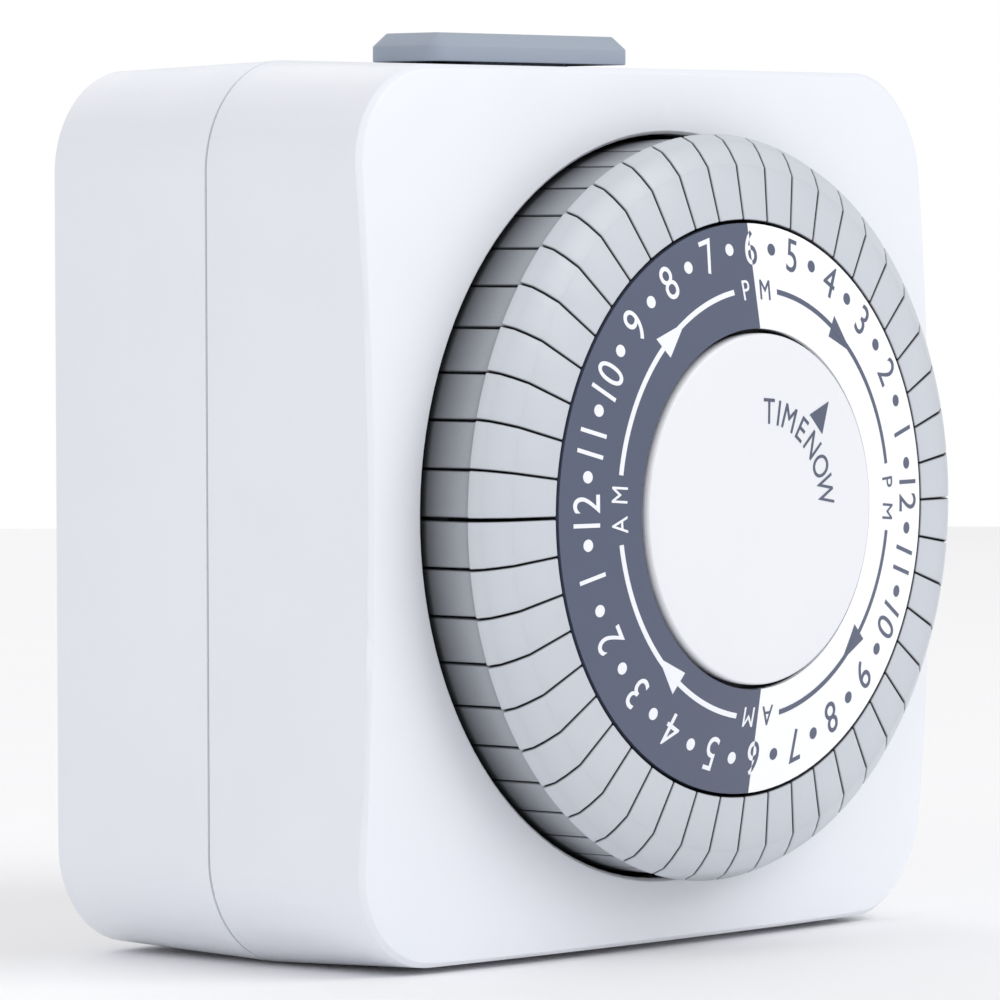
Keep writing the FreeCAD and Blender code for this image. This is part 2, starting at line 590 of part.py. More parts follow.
def tab_profile():
    """Section of one tab: face plate, bevelled corner, flange, skirt, and the bead that rides
    in the drum's groove."""
    corner_y = FLANGE_BACK_Y - TAB_FLANGE_HEIGHT
    bevel_y = corner_y - (TAB_OUTER_RADIUS - TAB_BEVEL_RADIUS) / TAB_BEVEL_RUN
    round_y = corner_y - (TAB_OUTER_RADIUS - TAB_CORNER_RADIUS) / TAB_CORNER_RUN
    return [
        (TAB_INNER_RADIUS, DISC_EDGE_Y + TAB_FACE_THICKNESS),
        (TAB_INNER_RADIUS, DISC_EDGE_Y),
        (TAB_BEVEL_RADIUS, bevel_y),
        (TAB_CORNER_RADIUS, round_y),
        (TAB_OUTER_RADIUS, corner_y),
        (TAB_OUTER_RADIUS, FLANGE_BACK_Y),
        (SKIRT_RADIUS, FLANGE_BACK_Y),
        (SKIRT_RADIUS, TAB_BACK_Y),
        (SKIRT_INNER_RADIUS - BEAD_HEIGHT, TAB_BACK_Y),
        (SKIRT_INNER_RADIUS - BEAD_HEIGHT, TAB_BACK_Y - BEAD_LENGTH),
        (SKIRT_INNER_RADIUS, TAB_BACK_Y - BEAD_LENGTH),
        (SKIRT_INNER_RADIUS, bevel_y + TAB_FACE_THICKNESS),
    ]


def tab(index):
    """One push-in tab; the tabs number anticlockwise from nine o'clock, seen from the front."""
    slit_angle = math.degrees(TAB_SLIT / SKIRT_RADIUS)
    extra = math.degrees(WIDE_SLIT_EXTRA / SKIRT_RADIUS)
    start = index * TAB_PITCH + slit_angle / 2
    width = TAB_PITCH - slit_angle
    if index == 0:
        start += extra / 2
        width -= extra / 2
    if index == TAB_COUNT - 1:
        width -= extra / 2
    solid = turned(tab_profile(), -width)
    solid.rotate(ORIGIN, Y_AXIS, -(180.0 + start))
    return solid


def tab_pair(hour):
    """The tabs of one hour, its two half hours."""
    return [tab(hour * TABS_PER_NODE + half) for half in range(TABS_PER_NODE)]


def compound_gear():
    """Wheel driven by the motor, with the small pinion that drives the ring gear."""
    space_phase = TRAIN_ANGLE - 180.0 - 180.0 / RING_PINION_TEETH
    pinion = gear(RING_MODULE, RING_PINION_TEETH, space_phase, RING_FRONT_Y, WHEEL_FRONT_Y, TRAIN_X, TRAIN_Z)
    wheel = gear(WHEEL_MODULE, WHEEL_TEETH, TRAIN_ANGLE - 180.0, WHEEL_FRONT_Y, WHEEL_BACK_Y,
                 TRAIN_X, TRAIN_Z)
    both = pinion.fuse(wheel)
    return both.cut(rod_y(AXLE_RADIUS + RUNNING_CLEARANCE, RING_FRONT_Y, WHEEL_BACK_Y, TRAIN_X, TRAIN_Z))


def gear_axle():
    """Pin pressed in the plate; a thin collar spaces the compound gear off the plate."""
    pin = rod_y(AXLE_RADIUS, RING_FRONT_Y - LAYER_GAP, PLATE_BACK_Y, TRAIN_X, TRAIN_Z)
    collar = rod_y(2 * AXLE_RADIUS, WHEEL_BACK_Y + RUNNING_CLEARANCE, PLATE_FRONT_Y, TRAIN_X, TRAIN_Z)
    return pin.fuse(collar)


def motor_pinion():
    """Motor output pinion on its shaft."""
    space_phase = TRAIN_ANGLE - 180.0 / MOTOR_PINION_TEETH
    pinion = gear(WHEEL_MODULE, MOTOR_PINION_TEETH, space_phase, WHEEL_FRONT_Y, PLATE_FRONT_Y,
                  MOTOR_X, MOTOR_Z)
    shaft = rod_y(MOTOR_SHAFT_RADIUS, PLATE_FRONT_Y, PLATE_BACK_Y + MOTOR_SHAFT_DEPTH, MOTOR_X, MOTOR_Z)
    return pinion.fuse(shaft)


def motor_screw_places():
    """Where the motor's two ears are screwed to the plate, across the gear train's line."""
    angle = math.radians(TRAIN_ANGLE + 90.0)
    return [(MOTOR_X + side * MOTOR_SCREW_REACH * math.cos(angle),
             MOTOR_Z + side * MOTOR_SCREW_REACH * math.sin(angle)) for side in (-1, 1)]


def motor_can():
    """Synchronous motor with its reduction sealed in: a drawn can with two ears."""
    can = rod_y(MOTOR_RADIUS, PLATE_BACK_Y, MOTOR_BACK_Y, MOTOR_X, MOTOR_Z)
    rim = edges_where(can, lambda b: b.YMin > MOTOR_BACK_Y - EDGE_REACH)
    can = can.makeChamfer(MOTOR_EDGE_CHAMFER, rim)
    ears = rounded_block(MOTOR_SCREW_REACH + MOTOR_EAR_HALF_WIDTH, MOTOR_EAR_HALF_WIDTH,
                         MOTOR_EAR_CORNER, PLATE_BACK_Y, PLATE_BACK_Y + MOTOR_EAR_THICKNESS)
    ears.rotate(ORIGIN, Y_AXIS, -(TRAIN_ANGLE + 90.0))
    ears.translate(Vector(MOTOR_X, 0, MOTOR_Z))
    can = can.fuse(ears)
    for x, z in motor_screw_places():
        can = can.cut(rod_y(SCREW_RADIUS, PLATE_BACK_Y, PLATE_BACK_Y + MOTOR_EAR_THICKNESS, x, z))
    return can.cut(rod_y(MOTOR_SHAFT_RADIUS + RUNNING_CLEARANCE, PLATE_BACK_Y,
                         PLATE_BACK_Y + MOTOR_SHAFT_DEPTH + LAYER_GAP, MOTOR_X, MOTOR_Z))


def motor_screws():
    """Two short screws through the motor's ears into the plate."""
    return [screw(PLATE_THICKNESS + MOTOR_EAR_THICKNESS, SCREW_RADIUS, SCREW_HEAD_RADIUS, SCREW_HEAD_HEIGHT,
                  PLATE_BACK_Y + MOTOR_EAR_THICKNESS, x, z) for x, z in motor_screw_places()]


def nose_front_y():
    """Front of the lever's nose, just behind the tabs that are not pushed in."""
    return TAB_BACK_Y + LAYER_GAP


def nose_back_y():
    """Back of the lever's nose, level with the end of a pushed tab."""
    return TAB_BACK_Y + TAB_TRAVEL - LAYER_GAP


def lever_arm_y():
    """Middle of the lever's rear arm, over the snap switch."""
    return PLATE_BACK_Y + SWITCH_THICKNESS / 2


def lever_back_y():
    """Back end of the lever's hub."""
    return lever_arm_y() + LEVER_ARM_WIDTH


def lever_pin_end_y():
    """Back end of the lever's pin, in the rear shell's post."""
    return lever_back_y() + 2 * WALL


def lever_pin():
    """Steel pin held between the two shells."""
    return rod_y(LEVER_PIN_RADIUS, FACE_INSIDE_Y, lever_pin_end_y(), LEVER_PIVOT_X, LEVER_PIVOT_Z)


def nose_tip():
    """Point of the nose nearest the dial's centre, with the slider at on."""
    radius = SKIRT_RADIUS + NOSE_CLEARANCE
    return radius * math.cos(math.radians(NOSE_ANGLE)), radius * math.sin(math.radians(NOSE_ANGLE))


def lever_swing():
    """How far the lever turns, in radians, to move its nose by its travel."""
    tip_x, tip_z = nose_tip()
    arm_x = tip_x - LEVER_PIVOT_X
    arm_z = tip_z - LEVER_PIVOT_Z
    angle = math.radians(NOSE_ANGLE)
    outward = -arm_z * math.cos(angle) + arm_x * math.sin(angle)
    return NOSE_TRAVEL / outward


def switch_lever():
    """Cam lever: a rounded nose at the dial's edge, a long hub, and an arm over the snap switch."""
    tip_x, tip_z = nose_tip()
    angle = math.radians(NOSE_ANGLE)
    round_x = tip_x + NOSE_ROUND * math.cos(angle)
    round_z = tip_z + NOSE_ROUND * math.sin(angle)
    half = LEVER_ARM_THICKNESS / 2
    outline = [
        (LEVER_PIVOT_X - half, LEVER_PIVOT_Z),
        (round_x - NOSE_ROUND * math.sin(angle), round_z + NOSE_ROUND * math.cos(angle)),
        (round_x + NOSE_ROUND * math.sin(angle), round_z - NOSE_ROUND * math.cos(angle)),
        (round_x + NOSE_WIDTH, round_z + NOSE_WIDTH / 2),
        (LEVER_PIVOT_X + LEVER_HUB_RADIUS, LEVER_PIVOT_Z),
    ]
    hub = rod_y(LEVER_HUB_RADIUS, nose_front_y(), lever_back_y(), LEVER_PIVOT_X, LEVER_PIVOT_Z)
    nose = prism_y(outline, nose_front_y(), nose_back_y())
    nose = nose.fuse(rod_y(NOSE_ROUND, nose_front_y(), nose_back_y(), round_x, round_z))
    arm_y0 = lever_arm_y() - LEVER_ARM_WIDTH / 2
    arm_y1 = lever_arm_y() + LEVER_ARM_WIDTH / 2
    end_x = LEVER_PIVOT_X - LEVER_ARM_LENGTH
    arm = box(end_x, LEVER_PIVOT_X, arm_y0, arm_y1, LEVER_PIVOT_Z - half, LEVER_PIVOT_Z + half)
    lever = hub.fuse([nose, arm, rod_y(half, arm_y0, arm_y1, end_x, LEVER_PIVOT_Z)])
    return lever.cut(rod_y(LEVER_PIN_RADIUS + RUNNING_CLEARANCE, nose_front_y(), lever_back_y(),
                           LEVER_PIVOT_X, LEVER_PIVOT_Z)).removeSplitter()


def plunger_x():
    """Where the snap switch's plunger stands, under the lever's arm."""
    return LEVER_PIVOT_X - PLUNGER_OFFSET


def switch_top_z():
    """Top of the snap switch's case, just under the lever's hub."""
    return LEVER_PIVOT_Z - LEVER_HUB_RADIUS - LAYER_GAP


def switch_bottom_z():
    """Underside of the snap switch's case."""
    return switch_top_z() - SWITCH_HEIGHT


def plunger_travel():
    """How far the lever lets the plunger rise when the slider is at timer."""
    return lever_swing() * (PLUNGER_OFFSET - PLUNGER_RADIUS)


def microswitch_case():
    """Snap switch case with the plunger's well and two mounting holes."""
    top = switch_top_z()
    middle_y = lever_arm_y()
    case = box(SWITCH_LEFT, SWITCH_LEFT + SWITCH_LENGTH, PLATE_BACK_Y, PLATE_BACK_Y + SWITCH_THICKNESS,
               top - SWITCH_HEIGHT, top)
    well = Part.makeCylinder(PLUNGER_RADIUS + RUNNING_CLEARANCE, PLUNGER_DEPTH + LAYER_GAP,
                             Vector(plunger_x(), middle_y, top - PLUNGER_DEPTH - LAYER_GAP))
    case = case.cut(well)
    for side in (-1, 1):
        x = SWITCH_LEFT + SWITCH_LENGTH / 2 + side * SWITCH_LENGTH / 4
        z = top - SWITCH_HOLE_DROP
        case = case.cut(rod_y(SCREW_RADIUS, PLATE_BACK_Y, PLATE_BACK_Y + SWITCH_THICKNESS, x, z))
    return case


def switch_plunger():
    """Snap switch plunger, pressed by the lever's arm at rest."""
    top = LEVER_PIVOT_Z - LEVER_ARM_THICKNESS / 2 - RUNNING_CLEARANCE
    bottom = switch_top_z() - PLUNGER_DEPTH
    return Part.makeCylinder(PLUNGER_RADIUS, top - bottom, Vector(plunger_x(), lever_arm_y(), bottom))


def switch_terminals():
    """Two flat terminals under the snap switch."""
    bottom = switch_bottom_z()
    half = STRAP_WIDTH / 4
    return [box(x - half, x + half, lever_arm_y() - STRAP_THICKNESS / 2, lever_arm_y() + STRAP_THICKNESS / 2,
                bottom - STRAP_WIDTH, bottom) for x in terminal_places()]


def terminal_places():
    """X of the two terminals: line in on the left, load out on the right."""
    return [SWITCH_LEFT + TERMINAL_INSET, SWITCH_LEFT + SWITCH_LENGTH - TERMINAL_INSET]


def slider_cap(base_z):
    """Outside part of the slider: upright sides below a chamfered top."""
    top_z = base_z + SLIDER_HEIGHT
    wires = []
    for z, inset in ((base_z, 0.0), (top_z - SLIDER_CHAMFER, 0.0), (top_z, SLIDER_CHAMFER)):
        wire = rounded_wire(SLIDER_LENGTH / 2 - inset, SLIDER_WIDTH / 2 - inset, SLIDER_CORNER - inset, 0.0)
        wire.rotate(ORIGIN, Vector(1, 0, 0), 90)
        wire.translate(Vector(SLIDER_CENTRE_X, SLIDER_Y, z))
        wires.append(wire)
    sides = Part.makeLoft(wires[:2], True, True)
    return sides.fuse(Part.makeLoft(wires[1:], True, True))


def override_slider():
    """Override slider: chamfered cap on top, neck through the slot, flange and cam leg inside."""
    base_z = HALF_HEIGHT + SLIDER_CLEARANCE / 2
    flange_top = HALF_HEIGHT - DRAFT - WALL - SLIDER_CLEARANCE
    flange_bottom = flange_top - SLIDER_FLANGE_THICKNESS
    half_neck = SLIDER_NECK_LENGTH / 2
    neck = box(SLIDER_CENTRE_X - half_neck, SLIDER_CENTRE_X + half_neck, SLIDER_Y - SLIDER_NECK_WIDTH / 2,
               SLIDER_Y + SLIDER_NECK_WIDTH / 2, flange_bottom, base_z)
    tip_x = LEVER_PIVOT_X - LEVER_ARM_LENGTH
    leg_end = tip_x + SLIDER_LEG_LENGTH
    flange_half = SLIDER_FLANGE_WIDTH / 2
    flange = box(SLIDER_CENTRE_X - half_neck - SLIDER_CLEARANCE, leg_end, SLIDER_Y - flange_half,
                 SLIDER_Y + flange_half, flange_bottom, flange_top)
    rise = math.tan(lever_swing()) * LEVER_ARM_LENGTH / SLIDER_TRAVEL
    leg_low = LEVER_PIVOT_Z + LEVER_ARM_THICKNESS / 2 + TAB_CLEARANCE
    leg = prism_y([
        (tip_x, flange_bottom),
        (tip_x, leg_low),
        (leg_end, leg_low + rise * SLIDER_LEG_LENGTH),
        (leg_end, flange_bottom),
    ], lever_arm_y() - LEVER_ARM_WIDTH / 2, lever_arm_y() + LEVER_ARM_WIDTH / 2)
    return slider_cap(base_z).fuse([neck, flange, leg]).removeSplitter()


def outlet_face():
    """Outlet insert in the right side: two slots, a ground hole and a flange behind the wall."""
    half_y = OUTLET_WIDTH / 2
    half_z = OUTLET_HEIGHT / 2
    front = box_x_rounded(half_y, half_z, OUTLET_CORNER, OUTLET_BACK_X, OUTLET_FACE_X)
    flange = box_x_rounded(half_y + OUTLET_FLANGE, half_z + OUTLET_FLANGE, OUTLET_CORNER, OUTLET_BACK_X,
                           OUTLET_BACK_X + OUTLET_FLANGE_THICKNESS)
    face = front.fuse(flange).removeSplitter()
    for y, width in ((NEUTRAL_SLOT_Y, NEUTRAL_BLADE_WIDTH), (LINE_SLOT_Y, LINE_BLADE_WIDTH)):
        half_slot = (BLADE_THICKNESS + SLOT_CLEARANCE) / 2
        half_run = (width + SLOT_END_CLEARANCE) / 2
        face = face.cut(box(OUTLET_BACK_X, OUTLET_FACE_X, y - half_slot, y + half_slot,
                            OUTLET_Z - half_run, OUTLET_Z + half_run))
    hole = Part.makeCylinder(GROUND_HOLE_RADIUS, OUTLET_FACE_X - OUTLET_BACK_X,
                             Vector(OUTLET_BACK_X, OUTLET_Y, OUTLET_Z - GROUND_DROP), Vector(1, 0, 0))
    return face.cut(hole)


def clip(y, gap, height, z):
    """Folded spring clip that opens towards the outlet's slot."""
    half = gap / 2
    outer = box(CONTACT_BACK_X, CONTACT_FRONT_X, y - half - CONTACT_LEAF, y + half + CONTACT_LEAF,
                z - height / 2, z + height / 2)
    return outer.cut(box(CONTACT_BACK_X + CONTACT_LEAF, CONTACT_FRONT_X, y - half, y + half,
                         z - height / 2, z + height / 2))


def neutral_contact():
    """Clip behind the wide slot."""
    return clip(NEUTRAL_SLOT_Y, BLADE_THICKNESS + 2 * RUNNING_CLEARANCE, CONTACT_HEIGHT, OUTLET_Z)


def line_contact():
    """Clip behind the narrow slot."""
    return clip(LINE_SLOT_Y, BLADE_THICKNESS + 2 * RUNNING_CLEARANCE, CONTACT_HEIGHT, OUTLET_Z)


def ground_contact():
    """Clip behind the ground hole."""
    return clip(OUTLET_Y, 2 * GROUND_PIN_RADIUS + 2 * RUNNING_CLEARANCE, CONTACT_HEIGHT,
                OUTLET_Z - GROUND_DROP)


def blade(x, width, tail):
    """Plug blade with a shoulder inside the back wall and a chamfered tip."""
    half = BLADE_THICKNESS / 2
    body = box(x - half, x + half, -tail, BLADE_LENGTH, PLUG_Z - width / 2, PLUG_Z + width / 2)
    tip = edges_where(body, lambda b: b.YMin > BLADE_LENGTH - EDGE_REACH)
    body = body.makeChamfer(BLADE_TIP_CHAMFER, tip)
    shoulder = box(x - half - BLADE_SHOULDER, x + half + BLADE_SHOULDER, -WALL - BLADE_SHOULDER, -WALL,
                   PLUG_Z - width / 2, PLUG_Z + width / 2)
    return body.fuse(shoulder).removeSplitter()


def neutral_blade():
    """Wide blade, on the left seen from the front."""
    return blade(-BLADE_PITCH / 2, NEUTRAL_BLADE_WIDTH, NEUTRAL_TAIL)


def line_blade():
    """Narrow blade, on the right seen from the front."""
    return blade(BLADE_PITCH / 2, LINE_BLADE_WIDTH, BLADE_TAIL)


def ground_pin():
    """Round ground pin with a domed tip, a thicker shank through the back wall and a collar inside."""
    z = PLUG_Z - GROUND_DROP
    straight = GROUND_PIN_LENGTH - GROUND_PIN_RADIUS
    pin = rod_y(GROUND_PIN_RADIUS, -BLADE_TAIL, straight, 0, z)
    dome = Part.makeSphere(GROUND_PIN_RADIUS, Vector(0, straight, z), Y_AXIS)
    collar = rod_y(GROUND_PIN_RADIUS + BLADE_SHOULDER, -WALL - BLADE_SHOULDER, -WALL, 0, z)
    shank = rod_y(GROUND_PIN_RADIUS + PIN_SHANK_EXTRA, -WALL, 0, 0, z)
    return pin.fuse([dome, shank, collar]).removeSplitter()


def flat_strap(points, z0, z1):
    """Flat strip on edge along straight runs in a level plane."""
    half = STRAP_THICKNESS / 2
    pieces = [box(min(x0, x1) - half, max(x0, x1) + half, min(y0, y1) - half, max(y0, y1) + half, z0, z1)
              for (x0, y0), (x1, y1) in zip(points, points[1:])]
    strip = pieces[0]
    for piece in pieces[1:]:
        strip = strip.fuse(piece)
    return strip.removeSplitter()


def neutral_strap():
    """Brass strip from the neutral blade's tail to the neutral clip."""
    half = STRAP_THICKNESS / 2
    low = PLUG_Z - NEUTRAL_BLADE_WIDTH / 2
    level_y = -NEUTRAL_TAIL - half
    end_x = CONTACT_BACK_X - half
    route = [(-BLADE_PITCH / 2, level_y), (end_x, level_y), (end_x, NEUTRAL_SLOT_Y)]
    return flat_strap(route, low, low + NEUTRAL_STRAP_WIDTH)


def ground_strap():
    """Strip from the ground pin's end to the ground clip."""
    half = STRAP_THICKNESS / 2
    middle = OUTLET_Z - GROUND_DROP
    return flat_strap([(0, -BLADE_TAIL - half), (CONTACT_BACK_X - half, -BLADE_TAIL - half),
                       (CONTACT_BACK_X - half, OUTLET_Y)], middle - STRAP_WIDTH / 2, middle + STRAP_WIDTH / 2)


def line_strap():
    """Strip from the line blade's tail up, then forward to the snap switch's first terminal."""
    x = terminal_places()[0]
    half = LIVE_STRAP_WIDTH / 2
    low = PLUG_Z - LINE_BLADE_WIDTH / 2
    top = switch_bottom_z() - LIVE_STRAP_DROP + STRAP_THICKNESS / 2
    upright = box(x - half, x + half, -BLADE_TAIL - STRAP_THICKNESS, -BLADE_TAIL, low, top)
    level = box(x - half, x + half, lever_arm_y() + STRAP_THICKNESS / 2, -BLADE_TAIL,
                top - STRAP_THICKNESS, top)
    return upright.fuse(level).removeSplitter()


def load_strap():
    """Strip from the snap switch's second terminal back, then down to the line clip's closed end."""
    x = terminal_places()[1]
    half = LOAD_STRAP_WIDTH / 2
    end_x = CONTACT_BACK_X - STRAP_THICKNESS
    top = switch_bottom_z() - LOAD_STRAP_DROP + STRAP_THICKNESS / 2
    level = box(min(end_x, x - half), max(CONTACT_BACK_X, x + half), lever_arm_y() + STRAP_THICKNESS / 2,
                LINE_SLOT_Y + half, top - STRAP_THICKNESS, top)
    upright = box(end_x, CONTACT_BACK_X, LINE_SLOT_Y - half, LINE_SLOT_Y + half,
                  OUTLET_Z - CONTACT_HEIGHT / 2, top)
    return level.fuse(upright).removeSplitter()


def wire_tube(points, radius, bend):
    """Insulated wire along straight runs with rounded corners."""
    edges = []
    start = points[0]
    for before, corner, after in zip(points, points[1:], points[2:]):
        back = (before - corner).normalize()
        ahead = (after - corner).normalize()
        half_turn = (math.pi - back.getAngle(ahead)) / 2
        trim = bend * math.tan(half_turn)
        arc_start = corner + back * trim
        arc_end = corner + ahead * trim
        middle_way = (back + ahead).normalize()
        middle = corner + middle_way * (bend / math.cos(half_turn) - bend)
        edges.append(Part.LineSegment(start, arc_start).toShape())
        edges.append(Part.Arc(arc_start, middle, arc_end).toShape())
        start = arc_end
    edges.append(Part.LineSegment(start, points[-1]).toShape())
    path = Part.Wire(edges)
    section = Part.Wire(Part.makeCircle(radius, points[0], points[1] - points[0]))
    return path.makePipeShell([section], True, True)


def motor_leads():
    """The motor's leads: one round to the line strip, one short tail back to the neutral strip."""
    side_y = (PLATE_BACK_Y + MOTOR_BACK_Y) / 2
    angle = math.radians(MOTOR_LEAD_ANGLE)
    out_x = math.cos(angle)
    out_z = math.sin(angle)
    start = Vector(MOTOR_X + MOTOR_RADIUS * out_x, side_y, MOTOR_Z + MOTOR_RADIUS * out_z)
    knee = start + Vector(out_x, 0, out_z) * (MOTOR_RADIUS / 2)
    strip_x = terminal_places()[0]
    corner = Vector(strip_x, side_y, knee.z + MOTOR_WIRE_BEND)
    end = Vector(strip_x, -BLADE_TAIL - STRAP_THICKNESS, corner.z)
    line_side = wire_tube([start, knee, corner, end], MOTOR_WIRE_RADIUS, MOTOR_WIRE_BEND)
    tail_z = PLUG_Z - NEUTRAL_BLADE_WIDTH / 2 + NEUTRAL_STRAP_WIDTH / 2
    neutral_side = rod_y(MOTOR_WIRE_RADIUS, MOTOR_BACK_Y, -NEUTRAL_TAIL - STRAP_THICKNESS,
                         -BLADE_PITCH / 2, tail_z)
    return [line_side, neutral_side]


NODES = {
    "front_housing": front_housing,
    "rear_housing": rear_housing,
    "housing_screws": housing_screws,
    "movement_plate": movement_plate,
    "plate_screws": plate_screws,
    "dial_spindle": dial_spindle,
    "spindle_washer": spindle_washer,
    "centre_cap": centre_cap,
    "dial_drum": dial_drum,
    "hour_disc": hour_disc,
    "compound_gear": compound_gear,
    "gear_axle": gear_axle,
    "motor_pinion": motor_pinion,
    "motor_can": motor_can,
    "motor_screws": motor_screws,
    "lever_pin": lever_pin,
    "switch_lever": switch_lever,
    "microswitch_case": microswitch_case,
    "switch_plunger": switch_plunger,
    "switch_terminals": switch_terminals,
    "override_slider": override_slider,
    "outlet_face": outlet_face,
    "neutral_contact": neutral_contact,
    "line_contact": line_contact,
    "ground_contact": ground_contact,
    "neutral_blade": neutral_blade,
    "line_blade": line_blade,
    "ground_pin": ground_pin,
    "neutral_strap": neutral_strap,
    "ground_strap": ground_strap,
    "line_strap": line_strap,
    "load_strap": load_strap,
    "motor_leads": motor_leads,
}


def write(name, made):
    """Write one sub-part, a solid or a group of solids, to its own file."""
    solids = made if isinstance(made, list) else [made]
    parts = [solid for shape in solids for solid in shape.Solids]
    shape = parts[0] if len(parts) == 1 else Part.makeCompound(parts)
    if not shape.isValid():
        print("not valid:", name)
    shape.exportStep("parts/" + name + ".step")


def main():
    """Build every sub-part and write it."""
    os.makedirs("parts", exist_ok=True)
    for name, build in NODES.items():
        write(name, build())
    for hour in range(TAB_COUNT // TABS_PER_NODE):
        write("tabs_hour_%02d" % hour, tab_pair(hour))
    print("lever swing, degrees:", round(math.degrees(lever_swing()), 3))
    print("plunger travel, mm:", round(plunger_travel(), 3))


main()
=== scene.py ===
"""Looks of a plug-in timer switch: moulded housing, tab dial, printed disc, slider, plug and outlet."""

import json
import logging
import math
from collections.abc import Callable
from dataclasses import dataclass, field
from enum import Enum

import bmesh
import bpy
from mathutils import Matrix, Vector


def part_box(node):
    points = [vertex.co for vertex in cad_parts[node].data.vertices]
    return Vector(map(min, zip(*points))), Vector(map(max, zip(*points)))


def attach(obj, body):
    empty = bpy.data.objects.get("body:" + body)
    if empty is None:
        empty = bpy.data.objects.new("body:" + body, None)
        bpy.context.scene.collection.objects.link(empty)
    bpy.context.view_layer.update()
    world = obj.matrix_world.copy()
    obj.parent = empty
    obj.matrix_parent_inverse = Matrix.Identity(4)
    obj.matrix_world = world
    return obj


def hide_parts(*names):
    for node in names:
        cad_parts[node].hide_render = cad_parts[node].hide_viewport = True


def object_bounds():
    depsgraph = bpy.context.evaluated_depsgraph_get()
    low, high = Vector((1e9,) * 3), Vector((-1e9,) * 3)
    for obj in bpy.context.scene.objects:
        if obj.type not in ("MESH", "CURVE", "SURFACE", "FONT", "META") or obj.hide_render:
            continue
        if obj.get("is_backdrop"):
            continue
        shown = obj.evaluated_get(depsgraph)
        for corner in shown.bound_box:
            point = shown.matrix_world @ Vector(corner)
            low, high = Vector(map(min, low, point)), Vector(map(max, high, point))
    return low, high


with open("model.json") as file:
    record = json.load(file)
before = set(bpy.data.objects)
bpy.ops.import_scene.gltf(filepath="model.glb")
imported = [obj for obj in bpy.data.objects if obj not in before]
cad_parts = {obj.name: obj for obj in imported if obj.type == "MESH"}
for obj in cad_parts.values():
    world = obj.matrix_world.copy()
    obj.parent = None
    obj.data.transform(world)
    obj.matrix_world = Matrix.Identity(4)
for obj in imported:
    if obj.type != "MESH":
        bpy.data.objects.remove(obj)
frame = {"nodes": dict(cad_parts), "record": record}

LOG = logging.getLogger("timer_switch")
MM = 0.001
Point = tuple[float, float]
Place = tuple[float, float, float]
Colour = tuple[float, float, float, float]
Mover = Callable[[Vector], Vector]

SCREEN_KNEE = 0.04045
SCREEN_SLOPE = 12.92
SCREEN_OFFSET = 0.055
SCREEN_POWER = 2.4

WELD_REACH = 0.001 * MM
FLAT_ANGLE = math.radians(0.5)
ROUNDING_STEPS = 3
ROUNDING_ANGLE = math.radians(35)
SHARP_ANGLE = math.radians(40)


def srgb(red: int, green: int, blue: int) -> Colour:
    """Turn a colour seen on screen into the shader's own values.

    Args:
        red, green, blue: parts of the colour, 0 to 255.

    Returns:
        The colour as linear values with full alpha.
    """
    def part(value: int) -> float:
        """One part of the colour, made linear."""
        share = value / 255
        if share <= SCREEN_KNEE:
            return share / SCREEN_SLOPE
        return ((share + SCREEN_OFFSET) / (1 + SCREEN_OFFSET)) ** SCREEN_POWER

    return part(red), part(green), part(blue), 1.0


def polar(radius: float, degrees: float) -> Point:
    """Point on a circle round the dial's axis, in X and Z."""
    angle = math.radians(degrees)
    return radius * math.cos(angle), radius * math.sin(angle)


class Surface(Enum):
    """How a finish is made."""

    MOULDED = "moulded"
    METAL = "metal"
    PRINT = "print"
    INK = "ink"


@dataclass(frozen=True)
class Finish:
    """A finish and the numbers that make it.

    The second colour is what the first drifts towards, or for print and ink the colour of the right half.
    """

    name: str
    surface: Surface
    colour: Colour
    second: Colour
    rough_low: float = 0.34
    rough_high: float = 0.46
    grain: float = 9000.0
    grain_height: float = 0.12
    # crevice: strength of painted shade in gaps; 0 means none
    crevice: float = 0.0


